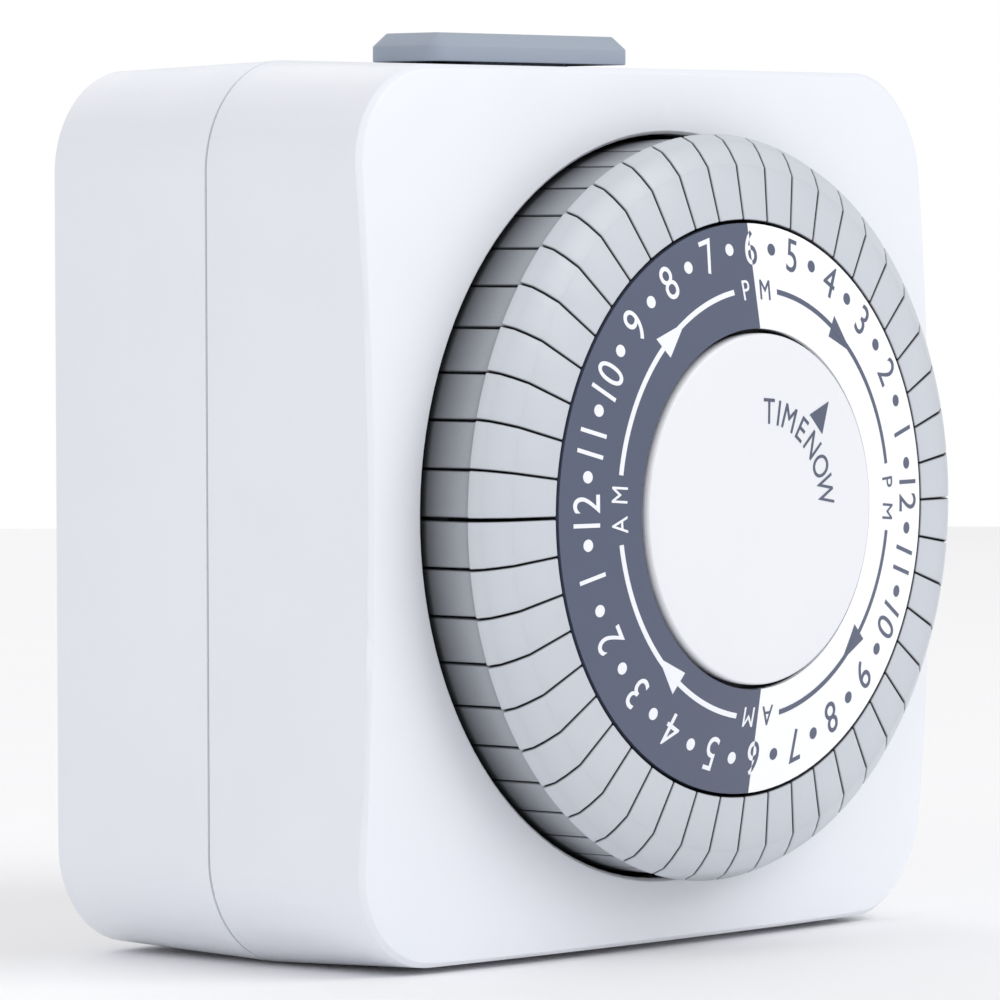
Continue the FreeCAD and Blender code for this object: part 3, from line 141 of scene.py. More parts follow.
class Finishes(Enum):
    """Every finish on the timer."""

    SHELL = Finish("shell_plastic", Surface.MOULDED, srgb(238, 240, 246), srgb(231, 234, 242))
    # tabs and drum: crevice paints shade into their colour in the gaps round the dial
    TAB = Finish("tab_plastic", Surface.MOULDED, srgb(203, 207, 215), srgb(194, 199, 207), 0.36, 0.5,
                 crevice=2.4)
    DRUM = Finish("drum_plastic", Surface.MOULDED, srgb(170, 177, 186), srgb(158, 166, 176), 0.45, 0.6,
                  crevice=2.4)
    CAP = Finish("cap_plastic", Surface.MOULDED, srgb(235, 236, 241), srgb(231, 233, 238), 0.3, 0.4)
    SLIDER = Finish("slider_plastic", Surface.MOULDED, srgb(163, 172, 186), srgb(148, 158, 173), 0.5, 0.66,
                    grain=5200.0, grain_height=0.55)
    DISC = Finish("disc_print", Surface.PRINT, srgb(83, 90, 112), srgb(249, 250, 254), 0.32, 0.42)
    DIAL_INK = Finish("dial_ink", Surface.INK, srgb(240, 242, 248), srgb(84, 92, 114), 0.34, 0.44)
    CAP_INK = Finish("cap_ink", Surface.MOULDED, srgb(88, 96, 116), srgb(80, 88, 108), 0.34, 0.44)
    OUTLET = Finish("outlet_plastic", Surface.MOULDED, srgb(228, 231, 237), srgb(220, 224, 231))
    GEAR = Finish("gear_plastic", Surface.MOULDED, srgb(226, 220, 202), srgb(214, 207, 188), 0.4, 0.55)
    BLACK = Finish("switch_plastic", Surface.MOULDED, srgb(38, 38, 41), srgb(48, 48, 52), 0.42, 0.58)
    RED = Finish("plunger_plastic", Surface.MOULDED, srgb(172, 44, 36), srgb(156, 38, 32))
    STEEL = Finish("zinc_steel", Surface.METAL, srgb(196, 198, 201), srgb(172, 175, 180), 0.26, 0.42,
                   grain=1400.0)
    BRASS = Finish("contact_brass", Surface.METAL, srgb(214, 178, 106), srgb(190, 152, 84), 0.22, 0.38,
                   grain=1400.0)
    FLOOR = Finish("studio_floor", Surface.MOULDED, srgb(252, 252, 253), srgb(250, 250, 252), 0.7, 0.8,
                   grain=60.0, grain_height=0.02)
    WIRE = Finish("wire_cover", Surface.MOULDED, srgb(46, 46, 50), srgb(58, 58, 62), 0.5, 0.65)


@dataclass
class MaterialShop:
    """Makes each material once, from shared groups of nodes."""

    made: dict[str, bpy.types.Material] = field(default_factory=dict)
    groups: dict[str, bpy.types.NodeTree] = field(default_factory=dict)
    drift_scale: float = 70.0
    drift_detail: float = 3.0
    fine_detail: float = 2.0
    brushed_stretch: float = 0.12
    rough_tones: Point = (0.3, 0.7)
    bump_depth: float = 0.02 * MM
    split_at: float = 0.4 * MM
    split_half_width: float = 0.03 * MM
    # painted shade in gaps: how far it looks for nearby surfaces, and the dark colour it paints in
    painted_shade_reach: float = 7.0 * MM
    painted_shade_colour: Colour = srgb(40, 42, 47)

    def grain_group(self) -> bpy.types.NodeTree:
        """Group for moulded grain: a slow drift of tone and a fine height.

        Returns:
            The node group, with inputs Grain and Stretch and outputs Tone and Height.
        """
        if "grain" in self.groups:
            return self.groups["grain"]
        tree = bpy.data.node_groups.new("moulded_grain", "ShaderNodeTree")
        sockets = (("Grain", "INPUT"), ("Stretch", "INPUT"), ("Tone", "OUTPUT"), ("Height", "OUTPUT"))
        for name, side in sockets:
            tree.interface.new_socket(name, in_out=side, socket_type="NodeSocketFloat")
        nodes = tree.nodes
        link = tree.links.new
        start = nodes.new("NodeGroupInput")
        end = nodes.new("NodeGroupOutput")
        place = nodes.new("ShaderNodeTexCoord")
        scale = nodes.new("ShaderNodeCombineXYZ")
        scale.inputs["X"].default_value = 1.0
        scale.inputs["Y"].default_value = 1.0
        link(start.outputs["Stretch"], scale.inputs["Z"])
        pulled = nodes.new("ShaderNodeVectorMath")
        pulled.operation = "MULTIPLY"
        link(place.outputs["Object"], pulled.inputs[0])
        link(scale.outputs["Vector"], pulled.inputs[1])
        slow = nodes.new("ShaderNodeTexNoise")
        slow.inputs["Scale"].default_value = self.drift_scale
        slow.inputs["Detail"].default_value = self.drift_detail
        link(pulled.outputs["Vector"], slow.inputs["Vector"])
        fine = nodes.new("ShaderNodeTexNoise")
        fine.inputs["Detail"].default_value = self.fine_detail
        link(start.outputs["Grain"], fine.inputs["Scale"])
        link(pulled.outputs["Vector"], fine.inputs["Vector"])
        link(slow.outputs["Fac"], end.inputs["Tone"])
        link(fine.outputs["Fac"], end.inputs["Height"])
        self.groups["grain"] = tree
        return tree

    def halves(self, tree: bpy.types.NodeTree) -> bpy.types.NodeSocket:
        """Mask that is 0 on the dial's left half and 1 on its right half."""
        place = tree.nodes.new("ShaderNodeTexCoord")
        split = tree.nodes.new("ShaderNodeSeparateXYZ")
        tree.links.new(place.outputs["Object"], split.inputs["Vector"])
        edge = tree.nodes.new("ShaderNodeMapRange")
        edge.inputs["From Min"].default_value = self.split_at - self.split_half_width
        edge.inputs["From Max"].default_value = self.split_at + self.split_half_width
        tree.links.new(split.outputs["X"], edge.inputs["Value"])
        return edge.outputs["Result"]

    def painted_shade_group(self) -> bpy.types.NodeTree:
        """Group that paints shade into a colour down in narrow gaps, where less light reaches.

        Returns:
            The node group, with inputs Colour, Reach and Power and output Shade.
        """
        if "crevice" in self.groups:
            return self.groups["crevice"]
        tree = bpy.data.node_groups.new("crevice_shade", "ShaderNodeTree")
        sockets = (("Colour", "INPUT", "Color"), ("Reach", "INPUT", "Float"), ("Power", "INPUT", "Float"),
                   ("Shade", "OUTPUT", "Color"))
        for name, side, kind in sockets:
            tree.interface.new_socket(name, in_out=side, socket_type="NodeSocket" + kind)
        link = tree.links.new
        start = tree.nodes.new("NodeGroupInput")
        end = tree.nodes.new("NodeGroupOutput")
        # ambient occlusion decides where shade is painted into the colour
        gap = tree.nodes.new("ShaderNodeAmbientOcclusion")
        link(start.outputs["Reach"], gap.inputs["Distance"])
        depth = tree.nodes.new("ShaderNodeMath")
        depth.operation = "POWER"
        link(gap.outputs["AO"], depth.inputs[0])
        link(start.outputs["Power"], depth.inputs[1])
        mix = tree.nodes.new("ShaderNodeMix")
        mix.data_type = "RGBA"
        mix.inputs["A"].default_value = self.painted_shade_colour
        link(depth.outputs["Value"], mix.inputs["Factor"])
        link(start.outputs["Colour"], mix.inputs["B"])
        link(mix.outputs["Result"], end.inputs["Shade"])
        self.groups["crevice"] = tree
        return tree

    def shaded(self, tree: bpy.types.NodeTree, tone: bpy.types.Node, power: float) -> bpy.types.NodeSocket:
        """Send a colour through the painted-shade group where the finish asks for it.

        Args:
            tree: the material's nodes.
            tone: the node that gives the colour.
            power: how strongly the painted shade darkens gaps; 0 leaves the colour alone.

        Returns:
            The socket with the finished colour.
        """
        if power <= 0.0:
            return tone.outputs["Result"]
        crevice = tree.nodes.new("ShaderNodeGroup")
        crevice.node_tree = self.painted_shade_group()
        crevice.inputs["Reach"].default_value = self.painted_shade_reach
        crevice.inputs["Power"].default_value = power
        tree.links.new(tone.outputs["Result"], crevice.inputs["Colour"])
        return crevice.outputs["Shade"]

    def get(self, choice: Finishes) -> bpy.types.Material:
        """Make or fetch the material of a finish.

        Args:
            choice: which finish.

        Returns:
            The material.
        """
        finish = choice.value
        if finish.name in self.made:
            return self.made[finish.name]
        material = bpy.data.materials.new(finish.name)
        material.use_nodes = True
        tree = material.node_tree
        link = tree.links.new
        shader = next(n for n in tree.nodes if n.type == "BSDF_PRINCIPLED")
        grain = tree.nodes.new("ShaderNodeGroup")
        grain.node_tree = self.grain_group()
        grain.inputs["Grain"].default_value = finish.grain
        metal = finish.surface is Surface.METAL
        grain.inputs["Stretch"].default_value = self.brushed_stretch if metal else 1.0
        mix = tree.nodes.new("ShaderNodeMix")
        mix.data_type = "RGBA"
        mix.inputs["A"].default_value = finish.colour
        mix.inputs["B"].default_value = finish.second
        two_tone = finish.surface in (Surface.PRINT, Surface.INK)
        link(self.halves(tree) if two_tone else grain.outputs["Tone"], mix.inputs["Factor"])
        # the base colour carries painted shade where the finish's crevice is above 0
        link(self.shaded(tree, mix, finish.crevice), shader.inputs["Base Color"])
        rough = tree.nodes.new("ShaderNodeMapRange")
        rough.inputs["From Min"].default_value = self.rough_tones[0]
        rough.inputs["From Max"].default_value = self.rough_tones[1]
        rough.inputs["To Min"].default_value = finish.rough_low
        rough.inputs["To Max"].default_value = finish.rough_high
        link(grain.outputs["Tone"], rough.inputs["Value"])
        link(rough.outputs["Result"], shader.inputs["Roughness"])
        bump = tree.nodes.new("ShaderNodeBump")
        bump.inputs["Strength"].default_value = finish.grain_height
        bump.inputs["Distance"].default_value = self.bump_depth
        link(grain.outputs["Height"], bump.inputs["Height"])
        link(bump.outputs["Normal"], shader.inputs["Normal"])
        shader.inputs["Metallic"].default_value = float(metal)
        self.made[finish.name] = material
        return material


def dress(piece: bpy.types.Object, material: bpy.types.Material) -> None:
    """Give a piece one material on all its faces."""
    if not piece.data.materials:
        piece.data.materials.append(material)
    for slot in piece.material_slots:
        slot.material = material


def add_object(name: str, mesh: bpy.types.Mesh) -> bpy.types.Object:
    """Link a new object that holds a mesh, at the origin."""
    piece = bpy.data.objects.new(name, mesh)
    bpy.context.scene.collection.objects.link(piece)
    return piece


def settle(piece: bpy.types.Object) -> None:
    """Turn a piece's modifiers into plain mesh and take them off."""
    graph = bpy.context.evaluated_depsgraph_get()
    result = bpy.data.meshes.new_from_object(piece.evaluated_get(graph))
    piece.modifiers.clear()
    piece.data = result


def refined(node: str, name: str, edge: float, move: Mover | None = None) -> bpy.types.Object:
    """Copy a solid's mesh, join its triangles and round its sharp edges.

    Args:
        node: the solid to copy.
        name: the new piece's name.
        edge: radius of the rounding, in metres.
        move: gives a corner its new place, where the real piece differs a little from the solid.

    Returns:
        The new piece, at the origin and still to be dressed.
    """
    mesh = frame["nodes"][node].data.copy()
    mesh.materials.clear()
    shape = bmesh.new()
    shape.from_mesh(mesh)
    bmesh.ops.remove_doubles(shape, verts=shape.verts, dist=WELD_REACH)
    bmesh.ops.dissolve_limit(shape, angle_limit=FLAT_ANGLE, verts=shape.verts, edges=shape.edges)
    if move:
        for vertex in shape.verts:
            vertex.co = move(vertex.co)
    shape.to_mesh(mesh)
    shape.free()
    piece = add_object(name, mesh)
    rounding = piece.modifiers.new("edge_rounding", "BEVEL")
    rounding.width = edge
    rounding.segments = ROUNDING_STEPS
    rounding.limit_method = "ANGLE"
    rounding.angle_limit = ROUNDING_ANGLE
    settle(piece)
    piece.data.shade_smooth()
    piece.data.set_sharp_from_angle(angle=SHARP_ANGLE)
    return piece


@dataclass
class InkSheet:
    """Flat print laid on a round face, gathered as points and faces and then set on the face."""

    seat: "Seat"
    shift: Point = (0.0, 0.0)
    thickness: float = 0.03 * MM
    solid_share: float = 1.5
    arc_step: float = 2.0
    capital_share: float = 0.73
    weld: float = 0.002 * MM
    points: list[Point] = field(default_factory=list)
    faces: list[list[int]] = field(default_factory=list)

    def polygon(self, outline: list[Point]) -> None:
        """Add one flat polygon in X and Z."""
        first = len(self.points)
        self.points += outline
        self.faces.append(list(range(first, first + len(outline))))

    def arc(self, radius: float, start: float, end: float, width: float) -> None:
        """Add a band along an arc.

        Args:
            radius: middle of the band.
            start, end: its two ends in degrees.
            width: its width.
        """
        steps = max(2, int(abs(end - start) / self.arc_step))
        for step in range(steps):
            low = start + (end - start) * step / steps
            high = start + (end - start) * (step + 1) / steps
            inner = radius - width / 2
            outer = radius + width / 2
            self.polygon([polar(inner, low), polar(outer, low), polar(outer, high), polar(inner, high)])

    def text(self, words: str, radius: float, degrees: float, height: float, squeeze: float) -> None:
        """Add lettering whose tops face outwards.

        Args:
            words: the characters.
            radius: distance of the lettering's middle from the axis.
            degrees: where it stands round the axis.
            height: height of a capital or a digit.
            squeeze: how much narrower than the plain letters.
        """
        curve = bpy.data.curves.new("lettering", "FONT")
        curve.body = words
        curve.size = height / self.capital_share
        source = bpy.data.objects.new("lettering", curve)
        bpy.context.scene.collection.objects.link(source)
        graph = bpy.context.evaluated_depsgraph_get()
        flat = bpy.data.meshes.new_from_object(source.evaluated_get(graph))
        across = [v.co.x for v in flat.vertices]
        along = [v.co.y for v in flat.vertices]
        middle = ((min(across) + max(across)) / 2, (min(along) + max(along)) / 2)
        centre = polar(radius, degrees)
        out = polar(1.0, degrees)
        side = (out[1], -out[0])
        first = len(self.points)
        for vertex in flat.vertices:
            right = (vertex.co.x - middle[0]) * squeeze
            up = vertex.co.y - middle[1]
            self.points.append((centre[0] + side[0] * right + out[0] * up,
                                centre[1] + side[1] * right + out[1] * up))
        self.faces += [[first + index for index in face.vertices] for face in flat.polygons]
        bpy.data.objects.remove(source)
        bpy.data.meshes.remove(flat)

    def piece(self, name: str, extra: bpy.types.Mesh | None = None) -> bpy.types.Object:
        """Set all the print on its face and make it one thin piece.

        Args:
            name: the piece's name.
            extra: more flat print, already in X and Z.

        Returns:
            The piece.
        """
        shape = bmesh.new()
        verts = [shape.verts.new((x, 0.0, z)) for x, z in self.points]
        for face in self.faces:
            shape.faces.new([verts[index] for index in face])
        if extra:
            shape.from_mesh(extra)
        bmesh.ops.remove_doubles(shape, verts=shape.verts, dist=self.weld)
        shape.normal_update()
        for face in shape.faces:
            if face.normal.y > 0:
                face.normal_flip()
        bmesh.ops.translate(shape, verts=shape.verts, vec=(self.shift[0], 0.0, self.shift[1]))
        for vertex in shape.verts:
            vertex.co.y = self.seat.depth(math.hypot(vertex.co.x, vertex.co.z)) - self.thickness
        bmesh.ops.solidify(shape, geom=shape.faces[:], thickness=self.thickness * self.solid_share)
        bmesh.ops.recalc_face_normals(shape, faces=shape.faces[:])
        mesh = bpy.data.meshes.new(name)
        shape.to_mesh(mesh)
        shape.free()
        return add_object(name, mesh)


@dataclass
class Seat:
    """Depth of a cone or a shallow dome, by distance from the dial's axis."""

    inner_radius: float
    inner_depth: float
    outer_radius: float
    outer_depth: float
    domed: bool = False

    def depth(self, radius: float) -> float:
        """Y of the face at a radius."""
        share = (radius - self.inner_radius) / (self.outer_radius - self.inner_radius)
        if self.domed:
            share = share ** 2
        return self.inner_depth + (self.outer_depth - self.inner_depth) * share


@dataclass
class HalfHourDots:
    """Geometry nodes that set a dot at every half hour."""

    count: int = 24
    ring_radius: float = 21.1 * MM
    dot_radius: float = 0.5 * MM
    turn: float = 7.5
    dot_sides: int = 20

    def tree(self, material: bpy.types.Material) -> bpy.types.NodeTree:
        """Build the node tree.

        Args:
            material: what the dots are made of.

        Returns:
            The tree, with inputs Count, Ring Radius, Dot Radius and Turn.
        """
        tree = bpy.data.node_groups.new("half_hour_dots", "GeometryNodeTree")
        sockets = (("Geometry", "INPUT", "Geometry"), ("Count", "INPUT", "Int"),
                   ("Ring Radius", "INPUT", "Float"), ("Dot Radius", "INPUT", "Float"),
                   ("Turn", "INPUT", "Float"), ("Geometry", "OUTPUT", "Geometry"))
        for name, side, kind in sockets:
            tree.interface.new_socket(name, in_out=side, socket_type="NodeSocket" + kind)
        link = tree.links.new
        start = tree.nodes.new("NodeGroupInput")
        end = tree.nodes.new("NodeGroupOutput")
        ring = tree.nodes.new("GeometryNodeMeshCircle")
        link(start.outputs["Count"], ring.inputs["Vertices"])
        link(start.outputs["Ring Radius"], ring.inputs["Radius"])
        dot = tree.nodes.new("GeometryNodeMeshCircle")
        dot.fill_type = "NGON"
        dot.inputs["Vertices"].default_value = self.dot_sides
        link(start.outputs["Dot Radius"], dot.inputs["Radius"])
        spread = tree.nodes.new("GeometryNodeInstanceOnPoints")
        link(ring.outputs["Mesh"], spread.inputs["Points"])
        link(dot.outputs["Mesh"], spread.inputs["Instance"])
        angle = tree.nodes.new("ShaderNodeCombineXYZ")
        angle.inputs["X"].default_value = math.radians(90)
        link(start.outputs["Turn"], angle.inputs["Y"])
        stand = tree.nodes.new("GeometryNodeTransform")
        link(spread.outputs["Instances"], stand.inputs["Geometry"])
        link(angle.outputs["Vector"], stand.inputs["Rotation"])
        real = tree.nodes.new("GeometryNodeRealizeInstances")
        link(stand.outputs["Geometry"], real.inputs["Geometry"])
        dress_node = tree.nodes.new("GeometryNodeSetMaterial")
        dress_node.inputs["Material"].default_value = material
        link(real.outputs["Geometry"], dress_node.inputs["Geometry"])
        link(dress_node.outputs["Geometry"], end.inputs["Geometry"])
        return tree

    def mesh(self, material: bpy.types.Material) -> bpy.types.Mesh:
        """Run the tree and return the dots as a plain mesh."""
        host = add_object("dot_host", bpy.data.meshes.new("dot_host"))
        modifier = host.modifiers.new("dots", "NODES")
        modifier.node_group = self.tree(material)
        values = {"Count": self.count, "Ring Radius": self.ring_radius, "Dot Radius": self.dot_radius,
                  "Turn": math.radians(self.turn)}
        for socket in modifier.node_group.interface.items_tree:
            if socket.in_out == "INPUT" and socket.name in values:
                modifier[socket.identifier] = values[socket.name]
        settle(host)
        result = host.data
        bpy.data.objects.remove(host)
        return result


@dataclass
class Housing:
    """The two shells and the slider on top."""

    shop: MaterialShop
    shell_edge: float = 0.45 * MM
    body_top: float = 37.05 * MM
    slider_edge: float = 0.25 * MM
    slider_middle: Point = (-1.75 * MM, -19.5 * MM)
    slider_stretch: Point = (1.04, 1.08)

    def widen(self, place: Vector) -> Vector:
        """Stretch the slider's cap to the outline in the photograph; what is inside the body stays."""
        if place.z < self.body_top:
            return place
        across = self.slider_middle[0] + (place.x - self.slider_middle[0]) * self.slider_stretch[0]
        depth = self.slider_middle[1] + (place.y - self.slider_middle[1]) * self.slider_stretch[1]
        return Vector((across, depth, place.z))

    def build(self) -> None:
        """Make both shells and the slider."""
        for node in ("front_housing", "rear_housing"):
            piece = refined(node, node.replace("housing", "shell"), self.shell_edge)
            dress(piece, self.shop.get(Finishes.SHELL))
            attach(piece, "housing")
            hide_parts(node)
        slider = refined("override_slider", "slider_moulding", self.slider_edge, self.widen)
        dress(slider, self.shop.get(Finishes.SLIDER))
        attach(slider, "slider")
        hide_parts("override_slider")
        LOG.info("housing: two shells and the slider")


@dataclass
class TabRing:
    """The 48 push-in tabs, two for each hour."""

    shop: MaterialShop
    hours: int = 24
    tab_edge: float = 0.16 * MM
    corner_reach: float = 0.12 * MM
    corners: tuple[tuple[Point, Point], ...] = (
        ((31.0, -41.85), (31.0, -41.25)),
        ((30.55, -41.85), (30.55, -41.25)),
        ((31.0, -43.4), (30.45, -42.35)),
        ((30.3, -43.87), (29.6, -43.05)),
        ((29.1, -44.26), (28.4, -43.8)),
    )

    def crown(self, place: Vector) -> Vector:
        """Bring a corner of the solid's front edge back to the rounder line of the real tab."""
        radius = math.hypot(place.x, place.z)
        for old, new in self.corners:
            if math.hypot(radius - old[0] * MM, place.y - old[1] * MM) < self.corner_reach:
                share = new[0] * MM / radius
                return Vector((place.x * share, new[1] * MM, place.z * share))
        return place

    def build(self) -> None:
        """Make each hour's two tabs."""
        for hour in range(self.hours):
            node = f"tabs_hour_{hour:02d}"
            piece = refined(node, f"tab_moulding_{hour:02d}", self.tab_edge, self.crown)
            dress(piece, self.shop.get(Finishes.TAB))
            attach(piece, f"tab_pair_{hour:02d}")
            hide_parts(node)
        LOG.info("tab ring: %d hours", self.hours)


@dataclass
class Dial:
    """Printed disc, with its numbers, words and arcs."""

    shop: MaterialShop
    disc_thickness: float = 0.4 * MM
    inner_radius: float = 14.9 * MM
    print_shift: Point = (0.4 * MM, 0.45 * MM)
    hours: int = 24
    midnight: float = 180.0
    hour_turn: float = 15.0
    quarter: float = 90.0
    squeeze: float = 0.86
    digit_radius: float = 21.1 * MM
    digit_height: float = 2.95 * MM
    word_radius: float = 17.65 * MM
    word_height: float = 1.75 * MM
    letter_turn: float = 8.0
    arc_gap: float = 9.2
    arc_width: float = 0.44 * MM
    arrow_tips: tuple[float, ...] = (121.7, 44.2, 309.5, 223.5)
    arrow_turn: float = 11.0
    arrow_half_width: float = 1.03 * MM

    def seat(self) -> Seat:
        """The disc's coned face, from the solid's box."""
        low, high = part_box("hour_disc")
        return Seat(self.inner_radius, low[1], high[0], high[1] - self.disc_thickness)

    def numbers(self, sheet: InkSheet) -> None:
        """Add the hours, from midnight on the left and round anticlockwise."""
        half = self.hours // 2
        for hour in range(self.hours):
            number = str((hour - 1) % half + 1)
            degrees = self.midnight + self.hour_turn * hour
            sheet.text(number, self.digit_radius, degrees, self.digit_height, self.squeeze)

    def words(self, sheet: InkSheet) -> None:
        """Add the four words that tell morning from afternoon."""
        for word, degrees in (("AM", 180.0), ("AM", 270.0), ("PM", 0.0), ("PM", 90.0)):
            for index, letter in enumerate(word):
                turn = (0.5 - index) * self.letter_turn
                sheet.text(letter, self.word_radius, degrees + turn, self.word_height, self.squeeze)

    def arcs(self, sheet: InkSheet) -> None:
        """Add the four arcs between the words, each with an arrowhead that points clockwise."""
        for index in range(4):
            start = index * self.quarter + self.arc_gap
            end = (index + 1) * self.quarter - self.arc_gap
            sheet.arc(self.word_radius, start, end, self.arc_width)
        for tip in self.arrow_tips:
            back = tip + self.arrow_turn
            sheet.polygon([
                polar(self.word_radius, tip),
                polar(self.word_radius - self.arrow_half_width, back),
                polar(self.word_radius + self.arrow_half_width, back),
            ])

    def build(self) -> None:
        """Dress the disc and lay its print on it."""
        dress(frame["nodes"]["hour_disc"], self.shop.get(Finishes.DISC))
        ink = self.shop.get(Finishes.DIAL_INK)
        sheet = InkSheet(self.seat(), self.print_shift)
        self.numbers(sheet)
        self.words(sheet)
        self.arcs(sheet)
        piece = sheet.piece("dial_print", HalfHourDots().mesh(ink))
        piece.data.materials.clear()
        dress(piece, ink)
        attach(piece, "dial")
        LOG.info("dial: numbers, words, arcs and dots")


@dataclass
class CentreCap:
    """Fixed cap with its pointer and two words."""

    shop: MaterialShop
    dome: float = 0.5 * MM
    edge: float = 0.15 * MM
    word_radius: float = 8.1 * MM
    word_height: float = 2.25 * MM
    squeeze: float = 0.8
    letters: tuple[tuple[str, float], ...] = (
        ("T", 85.9), ("I", 76.8), ("M", 66.5), ("E", 52.8), ("N", 39.3), ("O", 24.5), ("W", 9.5),
    )
    pointer_tip: float = 12.3 * MM
    pointer_base: float = 9.75 * MM
    pointer_half_width: float = 1.17 * MM
    pointer_angle: float = 45.0

    def build(self) -> None:
        """Make the cap and its print."""
        low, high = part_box("centre_cap")
        cap = refined("centre_cap", "cap_moulding", self.edge)
        dress(cap, self.shop.get(Finishes.CAP))
        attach(cap, "housing")
        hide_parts("centre_cap")
        sheet = InkSheet(Seat(0.0, low[1], high[0], low[1] + self.dome, domed=True))
        for letter, degrees in self.letters:
            sheet.text(letter, self.word_radius, degrees, self.word_height, self.squeeze)
        half = math.degrees(self.pointer_half_width / self.pointer_base)
        sheet.polygon([
            polar(self.pointer_tip, self.pointer_angle),
            polar(self.pointer_base, self.pointer_angle + half),
            polar(self.pointer_base, self.pointer_angle - half),
        ])
        piece = sheet.piece("cap_print")
        dress(piece, self.shop.get(Finishes.CAP_INK))
        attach(piece, "housing")
        LOG.info("centre cap: pointer and words")


@dataclass
class Works:
    """Everything that keeps its solid and only needs a finish, by the record's material slot."""

    shop: MaterialShop
    finishes: dict[str, Finishes] = field(default_factory=lambda: {
        "housing_plastic": Finishes.SHELL,
        "tab_plastic": Finishes.TAB,
        "drum_plastic": Finishes.DRUM,
        "disc_print": Finishes.DISC,
        "cap_plastic": Finishes.CAP,
        "slider_plastic": Finishes.SLIDER,
        "outlet_plastic": Finishes.OUTLET,
        "gear_plastic": Finishes.GEAR,
        "switch_plastic": Finishes.BLACK,
        "plunger_plastic": Finishes.RED,
        "zinc_steel": Finishes.STEEL,
        "contact_brass": Finishes.BRASS,
        "wire_cover": Finishes.WIRE,
    })
    rounded: dict[str, float] = field(default_factory=lambda: {
        "outlet_face": 0.2 * MM,
        "neutral_blade": 0.12 * MM,
        "line_blade": 0.12 * MM,
    })

    def build(self) -> None:
        """Dress every solid, and round the edges of those that show."""
        slots = {row["node"]: row["material_slot"] for row in frame["record"]["subparts"]}
        for node, solid in frame["nodes"].items():
            dress(solid, self.shop.get(self.finishes[slots[node]]))
        for node, edge in self.rounded.items():
            piece = refined(node, node + "_piece", edge)
            dress(piece, self.shop.get(self.finishes[slots[node]]))
            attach(piece, "housing")
            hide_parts(node)
        LOG.info("works: %d solids dressed", len(slots))


@dataclass(frozen=True)
class Lamp:
    """A soft square light: where it stands, how wide it is and how strong, in watts."""

    name: str
    place: Place
    width: float
    power: float


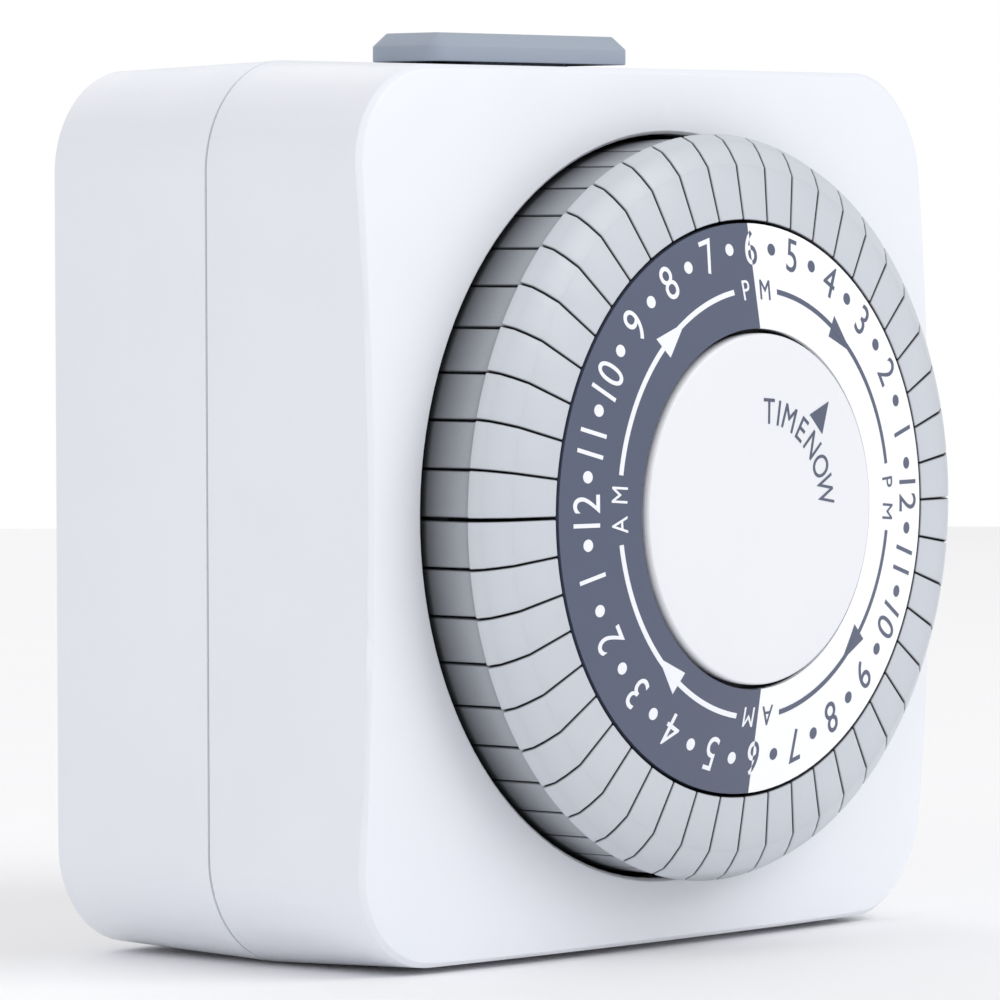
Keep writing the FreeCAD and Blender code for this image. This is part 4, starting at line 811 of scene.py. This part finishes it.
@dataclass
class Studio:
    """Floor, white surround, lights and camera. The camera stands where the photograph was taken from."""

    shop: MaterialShop
    azimuth: float = -48.91
    elevation: float = 2.245
    roll: float = -0.183
    distance: float = 596.74 * MM
    focal_pixels: float = 7037.4
    frame_pixels: float = 1000.0
    aim_right: float = -2.446 * MM
    aim_up: float = 0.173 * MM
    aim_depth: float = -21.0 * MM
    sensor_width: float = 36.0
    nearest: float = 0.01
    world_light: float = 0.69
    floor_sides: int = 96
    floor_drop: float = 0.05 * MM
    floor_radius: float = 0.8
    lamps: tuple[Lamp, ...] = (
        Lamp("key", (0.35, -0.9, 0.75), 0.8, 5.2),
        Lamp("left_fill", (-0.9, -0.35, 0.45), 0.9, 1.6),
        Lamp("back_fill", (0.3, 0.9, 0.6), 0.9, 2.0),
    )

    def camera(self) -> None:
        """Place the camera."""
        turn = math.radians(self.azimuth)
        lift = math.radians(self.elevation)
        back = Vector((math.sin(turn) * math.cos(lift), -math.cos(turn) * math.cos(lift), math.sin(lift)))
        right = Vector((math.cos(turn), math.sin(turn), 0.0))
        up = back.cross(right)
        tilt = math.radians(self.roll)
        right_turned = right * math.cos(tilt) + up * math.sin(tilt)
        up_turned = up * math.cos(tilt) - right * math.sin(tilt)
        aim = Vector((0.0, self.aim_depth, self.aim_up)) + right * self.aim_right
        data = bpy.data.cameras.new("camera")
        data.sensor_width = self.sensor_width
        data.lens = self.focal_pixels * data.sensor_width / self.frame_pixels
        data.clip_start = self.nearest
        camera = bpy.data.objects.new("camera", data)
        rotation = Matrix((right_turned, up_turned, back)).transposed().to_4x4()
        camera.matrix_world = Matrix.Translation(aim + back * self.distance) @ rotation
        bpy.context.scene.collection.objects.link(camera)
        bpy.context.scene.camera = camera

    def light(self, lamp: Lamp) -> None:
        """Add one soft light that looks at the timer."""
        data = bpy.data.lights.new(lamp.name, "AREA")
        data.size = lamp.width
        data.energy = lamp.power
        place = Vector(lamp.place)
        stand = bpy.data.objects.new(lamp.name, data)
        stand.location = place
        stand.rotation_euler = (-place).to_track_quat("-Z", "Y").to_euler()
        bpy.context.scene.collection.objects.link(stand)

    def floor(self) -> None:
        """Lay a round floor just under the timer."""
        low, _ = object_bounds()
        shape = bmesh.new()
        bmesh.ops.create_circle(shape, cap_ends=True, segments=self.floor_sides, radius=self.floor_radius)
        bmesh.ops.translate(shape, verts=shape.verts, vec=(0.0, 0.0, low[2] - self.floor_drop))
        mesh = bpy.data.meshes.new("floor")
        shape.to_mesh(mesh)
        shape.free()
        floor = add_object("floor", mesh)
        dress(floor, self.shop.get(Finishes.FLOOR))
        floor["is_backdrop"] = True

    def build(self) -> None:
        """Set up the studio."""
        self.floor()
        self.camera()
        for lamp in self.lamps:
            self.light(lamp)
        scene = bpy.context.scene
        world = bpy.data.worlds.new("studio")
        world.use_nodes = True
        backdrop = next(n for n in world.node_tree.nodes if n.type == "BACKGROUND")
        backdrop.inputs["Color"].default_value = (1.0, 1.0, 1.0, 1.0)
        rays = world.node_tree.nodes.new("ShaderNodeLightPath")
        strength = world.node_tree.nodes.new("ShaderNodeMapRange")
        strength.inputs["To Min"].default_value = self.world_light
        world.node_tree.links.new(rays.outputs["Is Camera Ray"], strength.inputs["Value"])
        world.node_tree.links.new(strength.outputs["Result"], backdrop.inputs["Strength"])
        scene.world = world
        scene.view_settings.view_transform = "Standard"
        LOG.info("studio: floor, camera and %d lights", len(self.lamps))


def main() -> None:
    """Build every sub-assembly in order."""
    logging.basicConfig(level=logging.INFO, format="%(name)s: %(message)s")
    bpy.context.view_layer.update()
    shop = MaterialShop()
    Works(shop).build()
    Housing(shop).build()
    TabRing(shop).build()
    Dial(shop).build()
    CentreCap(shop).build()
    Studio(shop).build()


if __name__ == "__main__":
    main()
